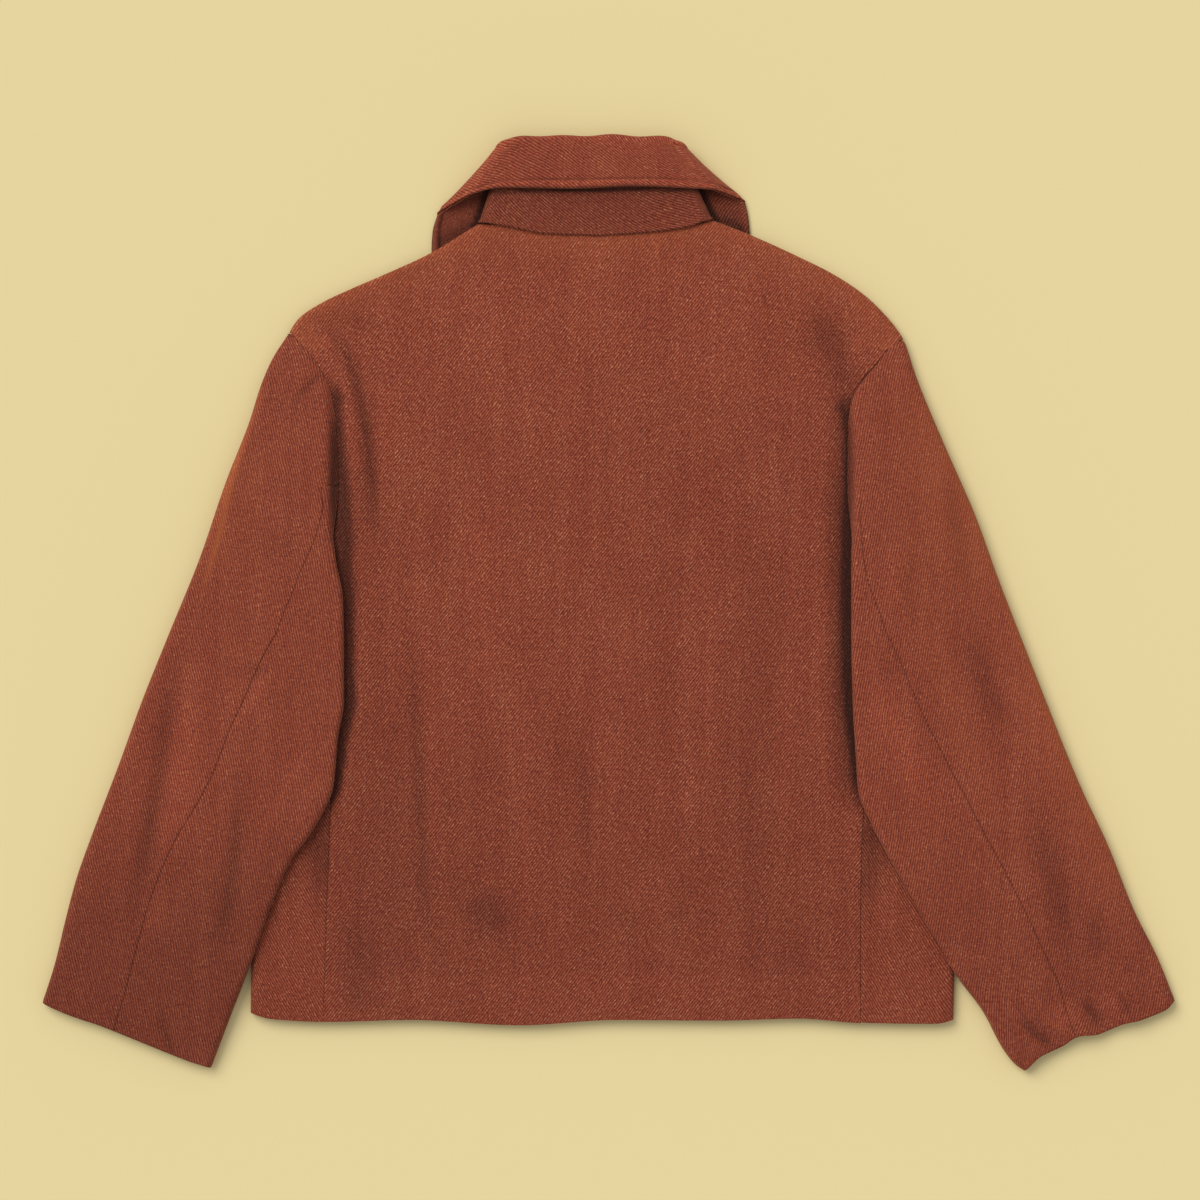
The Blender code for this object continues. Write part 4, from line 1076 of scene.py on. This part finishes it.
def make_back():
    columns = spaced(LEFT["tip"] + RIGHT["tip"], 3.2)
    close = len(EDGE_STEPS)
    rows = np.concatenate([spaced(LOW_BODY, 3.4)[:-close], 1 + spaced(HIGH_BODY, 3.0)[close:]])
    sheet = back_sheet(columns, rows)
    cloth = Cloth([(sheet, sheet[..., :2])])
    cloth.face(slice(None), up=True)
    lift(cloth, HEM_RISE * ease((HEM_TOP - cloth.points[:, 1]) / 3))
    cloth.finish_seams(lambda p: p[:, 1] < HEM_EDGE)
    x, y = cloth.points[:, 0], cloth.points[:, 1]
    # Painted sheen highlight along the shoulder edges
    glow = SHOULDER_PAINTED_SHEEN * np.exp(-cloth.to_border / SHOULDER_PAINTED_SHEEN_WIDTH) * (y > SHOULDER_FOOT)
    return cloth.build("back_cloth", CLOTH, body_tone_and_painted_shade(x, y), glow)


def make_front(name):
    side = SIDES[name]
    across = side["tip"] - side["front_edge"]
    last = FOLD_STEPS[-1]
    columns = np.concatenate([FOLD_STEPS, np.linspace(last, across - 1, int(across / 4))[1:],
                              [across - 0.5, across - 0.15, across]]) / across
    rows = np.concatenate([np.linspace(0, 1, 76), 1 + spaced(HIGH_BODY, 4.0)[1:]])
    rows = np.sort(np.concatenate([rows, [0.0006, 0.002, 0.005, 0.009]]))
    floor = front_sheet(side, columns, rows)
    under = int(np.sum(rows <= 1))
    top_y = blend(side["tip_y"], UNDERARM, np.linspace(0.99, 0.9, 6))
    at_seam = STRIP_WIDTH - np.array([1.2, 0.7, 0.3, 0.1, 0.0])
    inner = np.linspace(last, STRIP_WIDTH - 2, 14)[1:]
    strip_columns = np.concatenate([FOLD_STEPS, inner, at_seam]) / STRIP_WIDTH
    strip = strip_sheet(side, strip_columns, list(floor[:under, 0, 1]) + list(top_y))[:, ::-1]
    across_floor = np.abs(floor[..., 0] - floor[:, [-1], 0])
    place = np.stack([across_floor, floor[..., 1]], axis=-1)
    cloth = Cloth([(floor, place), (strip, grain(strip, 0, 3))])
    cloth.face(np.abs(cloth.points[:, 0]) < 150, up=False)
    x, y = cloth.points[:, 0], cloth.points[:, 1]
    under_side = np.clip(-cloth.normals[:, 2], 0, 1)
    lift(cloth, crease_offset(crease_lines(FRONT_CREASES), x, y) * under_side)
    lift(cloth, HEM_RISE * ease((HEM_TOP - y) / 3) * upward(cloth))
    cloth.finish_seams(lambda p: (p[:, 1] < HEM_EDGE) | (np.abs(p[:, 0] - floor[0, -1, 0]) < 3))
    corner = np.clip((np.abs(x) - side["seam_at"](y)) / STRIP_SHADE_WIDTH, 0, 1)
    shade = STRIP_DARK * ease((y - STRIP_SHADE_FOOT - STRIP_SHADE_SLANT * corner) / STRIP_SHADE_FADE)
    tone = FRONT_TONE - shade * upward(cloth)
    return cloth.build(f"front_{name}_cloth", CLOTH, tone, np.zeros(len(x)))


def make_sleeve(name):
    side = SIDES[name]
    sheets = sleeve_sheets(side)
    made = []
    for part, sheet in sheets.items():
        if part == "under":
            sheet = sheet[:, ::-1]
        fold, reach = (TOP_FOLD_COLUMN, -GRAIN_REACH) if part == "top" else (0, GRAIN_REACH)
        cloth = Cloth([(sheet, grain(sheet, fold, reach))])
        cloth.face((cloth.to_border > 0) & (cloth.points[:, 2] > UPPER_LAYER), up=True)
        x, y = cloth.points[:, 0], cloth.points[:, 1]
        weight = upward(cloth) * ease((cloth.points[:, 2] - 6) / 3)
        creases = crease_offset(crease_lines(SLEEVE_CREASES[name]), x, y) * weight
        lift(cloth, creases)
        inner, outer = np.array(side["inner"][0][:2]), np.array(side["outer"][0][:2])
        cuff = (outer - inner) / np.linalg.norm(outer - inner)
        from_cuff = (side["side"] * x - inner[0]) * -cuff[1] + (y - inner[1]) * cuff[0]
        lift(cloth, CUFF_RISE * ease((CUFF_WIDTH - from_cuff) / 3) * weight)
        cuff_edge = sheet[-1, :, 1].max() - CUFF_DROP
        plain_top = UNDERARM if part == "under" else math.inf
        cloth.finish_seams(lambda p: (p[:, 1] < cuff_edge) | (p[:, 1] > plain_top))
        x, y = cloth.points[:, 0], cloth.points[:, 1]
        from_inner = side["side"] * x - side["inner_at"](y)
        tone = 1.0 - CUFF_SHADE[name] * ease((-110 - y) / 160)
        # Painted shade along the inner edge beside the valley
        edge_shade = 1 - ease((from_inner - SHADED_EDGE_START) / SHADED_EDGE)
        tone = tone - EDGE_PAINTED_SHADE[name] * edge_shade * span(y, *EDGE_SPAN)
        # Painted shade in the creases and painted light on their ridges
        tone = tone + CREASE_PAINTED_LIGHT_AND_SHADE * creases
        # Painted sheen highlights along the streaks
        glow = crease_offset(crease_lines(PAINTED_SHEEN_STREAKS[name]), x, y) * upward(cloth)
        made.append(cloth.build(f"sleeve_{name}_{part}_cloth", CLOTH, tone, glow))
    return made


def collar_painted_light_and_shade(middle, stand, from_edge, from_top, turned, edge_ridge, edge_line):
    """Painted light and shade of the upper collar, and painted shade of the under collar with the painted
    shadows that fall on it.
    """
    # Painted highlights along the roll and towards the ends of the fall
    top = 0.98 + 0.10 * bell(stand - 1.0, 0.12) + 0.06 * ease((from_top - 0.08) / 0.1)[None, :]
    # Painted highlights on the raised band, brightest beside its stitch line, and painted shade in the stitch
    # line's groove
    top = top + 0.07 * edge_ridge + 0.12 * bell(from_edge - COLLAR_BAND + 1.6, 1.1) - 0.38 * edge_line
    # Painted shade on the stand under the fall, deepest at the roll
    under = blend(0.86, 0.50, ease(stand)) * blend(1.0, 1.15, turned)
    # Painted shade on the fall's under side, darkest next to the roll
    under = np.where(stand > 1, blend(0.30, 0.9, ease((stand - 1.1) / 0.7)), under)
    under = under * blend(1.0, 0.84, turned)
    # The band on the turned leaf as light as the upper collar, whose cloth rolls round the edge there, and
    # painted shade in the stitch line's groove
    under = blend(under, 1.02, edge_ridge * turned) - 0.45 * edge_line * turned
    # Painted shadows from their table
    return top, under + crease_offset(crease_lines(COLLAR_SHADOWS), middle[..., 0], middle[..., 1])


def make_collar():
    close = 1 - np.array([0.0005, 0.0015, 0.003, 0.0055])
    steps = np.unique(np.concatenate([np.linspace(0, 1, 150), close]))
    middle = collar_sheet(steps, *COLLAR_ROWS)
    normal = normals_of(middle)
    outside = np.sign(normal[-1, len(steps) - 1, 2])
    across = travelled(middle)
    from_edge = across[-1] - across
    stand = across / across[ROLL_ROW]
    along = travelled(middle[ROLL_ROW])
    along = along - along[len(steps) - 1]
    from_top = np.abs(np.linspace(-1, 1, middle.shape[1]))
    turned = ease((from_top - COLLAR_TURN_START) / 0.08)[None, :]
    middle[..., 1] += EDGE_WAVE * np.sin(along / 12.5)[None, :] * ease((10 - from_edge) / 10)
    roll_wave = ROLL_WAVE * (np.sin(along / 5.9) + 0.6 * np.sin(along / 9.7 + 1))[None, :]
    middle[..., 1] += roll_wave * bell(stand - 1, 0.25) * (1 - turned)
    edge_ridge = ease(from_edge / 0.8) * (1 - ease((from_edge - COLLAR_BAND + 1.4) / 1.4))
    edge_line = bell(from_edge - COLLAR_BAND - 0.4, 0.85)
    top_tone, under_tone = collar_painted_light_and_shade(middle, stand, from_edge, from_top, turned, edge_ridge, edge_line)
    gap = COLLAR_PLY_OFFSET * (1 - 0.18 * (1 - ease(from_edge / 2.2)))
    band = COLLAR_BAND_RISE * (edge_ridge - 0.5 * edge_line) * blend(1.0, -1.0, turned)
    creases = collar_creases(along, across, stand)
    tuck = middle[0] - middle[2]
    tuck = NECK_TUCK * tuck / np.linalg.norm(tuck, axis=1)[:, None]
    drop = -NECK_DROP * outside * normal[0]
    across_cut = np.concatenate([across[:1] - 3, across[:1] - 1, across])
    made = []
    for name, shift, tone in (("collar_top", 1, top_tone), ("collar_under", -1, under_tone)):
        offset = shift * (gap + creases * (shift < 0)) + band
        ply = middle + offset[..., None] * outside * normal
        ply = np.concatenate([[ply[0] + tuck + drop, ply[0] + 0.3 * tuck + 0.5 * drop], ply])
        place = np.stack(np.broadcast_arrays(along[None, :], -shift * across_cut), axis=-1)
        cloth = Cloth([(ply, place)])
        cloth.face(cloth.points[:, 2] > UPPER_LAYER, up=shift > 0)
        tone = np.concatenate([tone[:1], tone[:1], tone]).reshape(-1)[cloth.first]
        made.append(cloth.build(name + "_cloth", PLY, tone, np.zeros(len(tone))))
    return made


def collar_creases(along, across, stand):
    """Fine creases that run round the stand, a little uneven."""
    total = np.zeros(across.shape)
    for place, depth, width in COLLAR_CREASES:
        line = place * across[ROLL_ROW][None, :] + 0.8 * np.sin(along / 19 + 9 * place)[None, :]
        total = total - depth * np.exp(-0.5 * ((across - line) / width) ** 2)
    return total * (stand < 1) * (1 - ease((np.abs(along) - 60) / 25))[None, :]


def feed(tree, socket, value):
    """Links a node's output to a socket, or sets the socket to a constant."""
    if isinstance(value, bpy.types.NodeSocket):
        tree.links.new(value, socket)
    else:
        socket.default_value = value


def math_node(tree, operation, first, second=0.0, clamp=False):
    node = tree.nodes.new("ShaderNodeMath")
    node.operation = operation
    node.use_clamp = clamp
    for socket, value in zip(node.inputs, (first, second)):
        feed(tree, socket, value)
    return node.outputs[0]


def times(tree, source, factor):
    return math_node(tree, "MULTIPLY", source, factor)


def plus(tree, total, source, factor, clamp=False):
    return math_node(tree, "ADD", total, times(tree, source, factor), clamp)


def vector_node(tree, operation, *values):
    node = tree.nodes.new("ShaderNodeVectorMath")
    node.operation = operation
    for socket, value in values:
        feed(tree, node.inputs[socket], value)
    return node.outputs[0]


def combine(tree, *values):
    node = tree.nodes.new("ShaderNodeCombineXYZ")
    for socket, value in zip(node.inputs, values):
        feed(tree, socket, value)
    return node.outputs[0]


def noise(tree, vector, scale, detail, rough, output="Fac"):
    node = tree.nodes.new("ShaderNodeTexNoise")
    for socket, value in (("Scale", scale), ("Detail", detail), ("Roughness", rough), ("Vector", vector)):
        feed(tree, node.inputs[socket], value)
    return node.outputs[output]


def srgb(value):
    value = value / 255
    return value / 12.92 if value <= 0.04045 else ((value + 0.055) / 1.055) ** 2.4


def opaque(colour):
    return (*[srgb(c) for c in colour], 1.0)


def ramp(tree, value, stops):
    node = tree.nodes.new("ShaderNodeValToRGB")
    while len(node.color_ramp.elements) < len(stops):
        node.color_ramp.elements.new(0.5)
    for element, (place, colour) in zip(node.color_ramp.elements, stops):
        element.position = place
        element.color = opaque(colour)
    feed(tree, node.inputs["Fac"], value)
    return node.outputs["Color"]


def mix(tree, kind, factor, first, second):
    node = tree.nodes.new("ShaderNodeMix")
    node.data_type = "RGBA"
    node.blend_type = kind
    for socket, value in ((0, factor), (6, first), (7, second)):
        feed(tree, node.inputs[socket], value)
    return node.outputs[2]


def attribute(tree, name):
    node = tree.nodes.new("ShaderNodeAttribute")
    node.attribute_name = name
    return node.outputs["Fac"]


def new_material(name):
    material = bpy.data.materials.new(name)
    material.use_nodes = True
    return material, material.node_tree.nodes["Principled BSDF"]


def weave(tree, angle, pitch):
    """The wave of the ribs and the streaks of the yarn, by the place in the uncut cloth."""
    coordinates = tree.nodes.new("ShaderNodeUVMap")
    coordinates.uv_map = "grain"
    place = vector_node(tree, "SCALE", (0, coordinates.outputs[0]), ("Scale", 1 / MM))
    drift = noise(tree, place, 0.07, 3.0, 0.6, "Color")
    wander = vector_node(tree, "MULTIPLY_ADD", (0, drift), (1, (2.2, 2.2, 0.0)), (2, place))
    split = tree.nodes.new("ShaderNodeSeparateXYZ")
    feed(tree, split.inputs[0], wander)
    u, v = split.outputs[0], split.outputs[1]
    cos, sin = math.cos(math.radians(angle)), math.sin(math.radians(angle))
    across = plus(tree, times(tree, u, -sin / pitch), v, cos / pitch)
    along = plus(tree, times(tree, u, cos), v, sin)
    streaks = {"float": noise(tree, combine(tree, across, times(tree, along, 0.42)), 1.0, 1.0, 0.5),
               "cloud": noise(tree, place, 0.018, 3.0, 0.5),
               "nap": noise(tree, place, 2.6, 3.0, 0.7)}
    for label, (by_weft, by_warp, offset, detail, rough) in STREAKS.items():
        spot = combine(tree, times(tree, u, by_weft), times(tree, v, by_warp), offset)
        streaks[label] = noise(tree, spot, 1.0, detail, rough)
    return math_node(tree, "SINE", times(tree, across, 2 * math.pi)), streaks


def twill(name, angle, pitch, ribs, specks, tint):
    """Heathered wool twill: ribs on the slant, uneven yarns, flecks, a soft nap and a faint sheen."""
    material, shader = new_material(name)
    tree = material.node_tree
    rib, streaks = weave(tree, angle, pitch)
    value = 0.5
    for label, weight in SHADE_WEIGHTS.items():
        weight = weight * specks if label in SPECKLED else weight
        value = plus(tree, value, math_node(tree, "SUBTRACT", streaks[label], 0.5), weight)
    colour = ramp(tree, plus(tree, value, rib, ribs, clamp=True), YARN)
    colour = mix(tree, "MULTIPLY", 0.8, colour, ramp(tree, streaks["hue"], HUES))
    # The tone attribute brings painted light and shade, with some plain tone, into the colour, scaled by the
    # piece's tint
    shade = times(tree, attribute(tree, "tone"), tint)
    colour = mix(tree, "MULTIPLY", 1.0, colour, combine(tree, shade, shade, shade))
    # Painted sheen highlights mixed into the colour
    colour = mix(tree, "MIX", times(tree, attribute(tree, "glow"), 0.5), colour, opaque(PAINTED_SHEEN_COLOUR))
    feed(tree, shader.inputs["Base Color"], colour)
    shader.inputs["Roughness"].default_value = 0.88
    shader.inputs["Specular IOR Level"].default_value = 0.22
    shader.inputs["Sheen Weight"].default_value = 0.25
    shader.inputs["Sheen Roughness"].default_value = 0.45
    shader.inputs["Sheen Tint"].default_value = (0.85, 0.45, 0.27, 1.0)
    height = times(tree, rib, RIB_BUMP)
    for label, weight in BUMP_WEIGHTS.items():
        height = plus(tree, height, streaks[label], weight)
    bump = tree.nodes.new("ShaderNodeBump")
    bump.inputs["Strength"].default_value = 0.8
    bump.inputs["Distance"].default_value = 0.001
    feed(tree, bump.inputs["Height"], height)
    feed(tree, shader.inputs["Normal"], bump.outputs[0])
    return material


def dress(obj, node):
    """Gives a shell its twill and its body, and hides the solid that it stands for."""
    obj.data.materials.append(twill(node + "_twill", *TWILL[node]))
    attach(obj, "root")
    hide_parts(node)


def make_floor():
    mesh = bpy.data.meshes.new("floor")
    reach = 6.0
    mesh.from_pydata([(-reach, -reach, 0), (reach, -reach, 0), (reach, reach, 0), (-reach, reach, 0)], [],
                     [(0, 1, 2, 3)])
    floor = add_object("floor", mesh)
    material, shader = new_material("pale_floor")
    shader.inputs["Base Color"].default_value = FLOOR_COLOUR
    shader.inputs["Roughness"].default_value = 0.95
    shader.inputs["Specular IOR Level"].default_value = 0.0
    mesh.materials.append(material)


def make_light():
    world = bpy.data.worlds.new("studio")
    bpy.context.scene.world = world
    world.use_nodes = True
    background = world.node_tree.nodes["Background"]
    background.inputs["Color"].default_value = (1.0, 1.0, 1.0, 1.0)
    background.inputs["Strength"].default_value = SKY_STRENGTH
    lamp = bpy.data.lights.new("window", "SUN")
    lamp.angle = math.radians(LIGHT_SPREAD)
    lamp.energy = LIGHT_STRENGTH
    lamp.color = (1.0, 0.99, 0.97)
    window = add_object("window", lamp)
    window.rotation_euler = Vector(LIGHT_FROM).to_track_quat("Z", "Y").to_euler()


def make_camera():
    lens = bpy.data.cameras.new("overhead")
    lens.sensor_width = 36.0
    lens.lens = 36.0 * CAMERA_HEIGHT / (FRAME_MM * MM)
    lens.clip_end = 50.0
    camera = add_object("overhead", lens)
    camera.location = (FRAME_CENTRE[0] * MM, FRAME_CENTRE[1] * MM, CAMERA_HEIGHT)
    bpy.context.scene.camera = camera


def main():
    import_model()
    bpy.context.scene.view_settings.view_transform = "Standard"
    for side in SIDES.values():
        prepare(side)
    make_floor()
    dress(make_back(), "back")
    for name in SIDES:
        dress(make_front(name), "front_" + name)
        for piece in make_sleeve(name):
            dress(piece, piece.name[:-len("_cloth")])
    for piece in make_collar():
        dress(piece, piece.name[:-len("_cloth")])
    make_light()
    make_camera()


main()
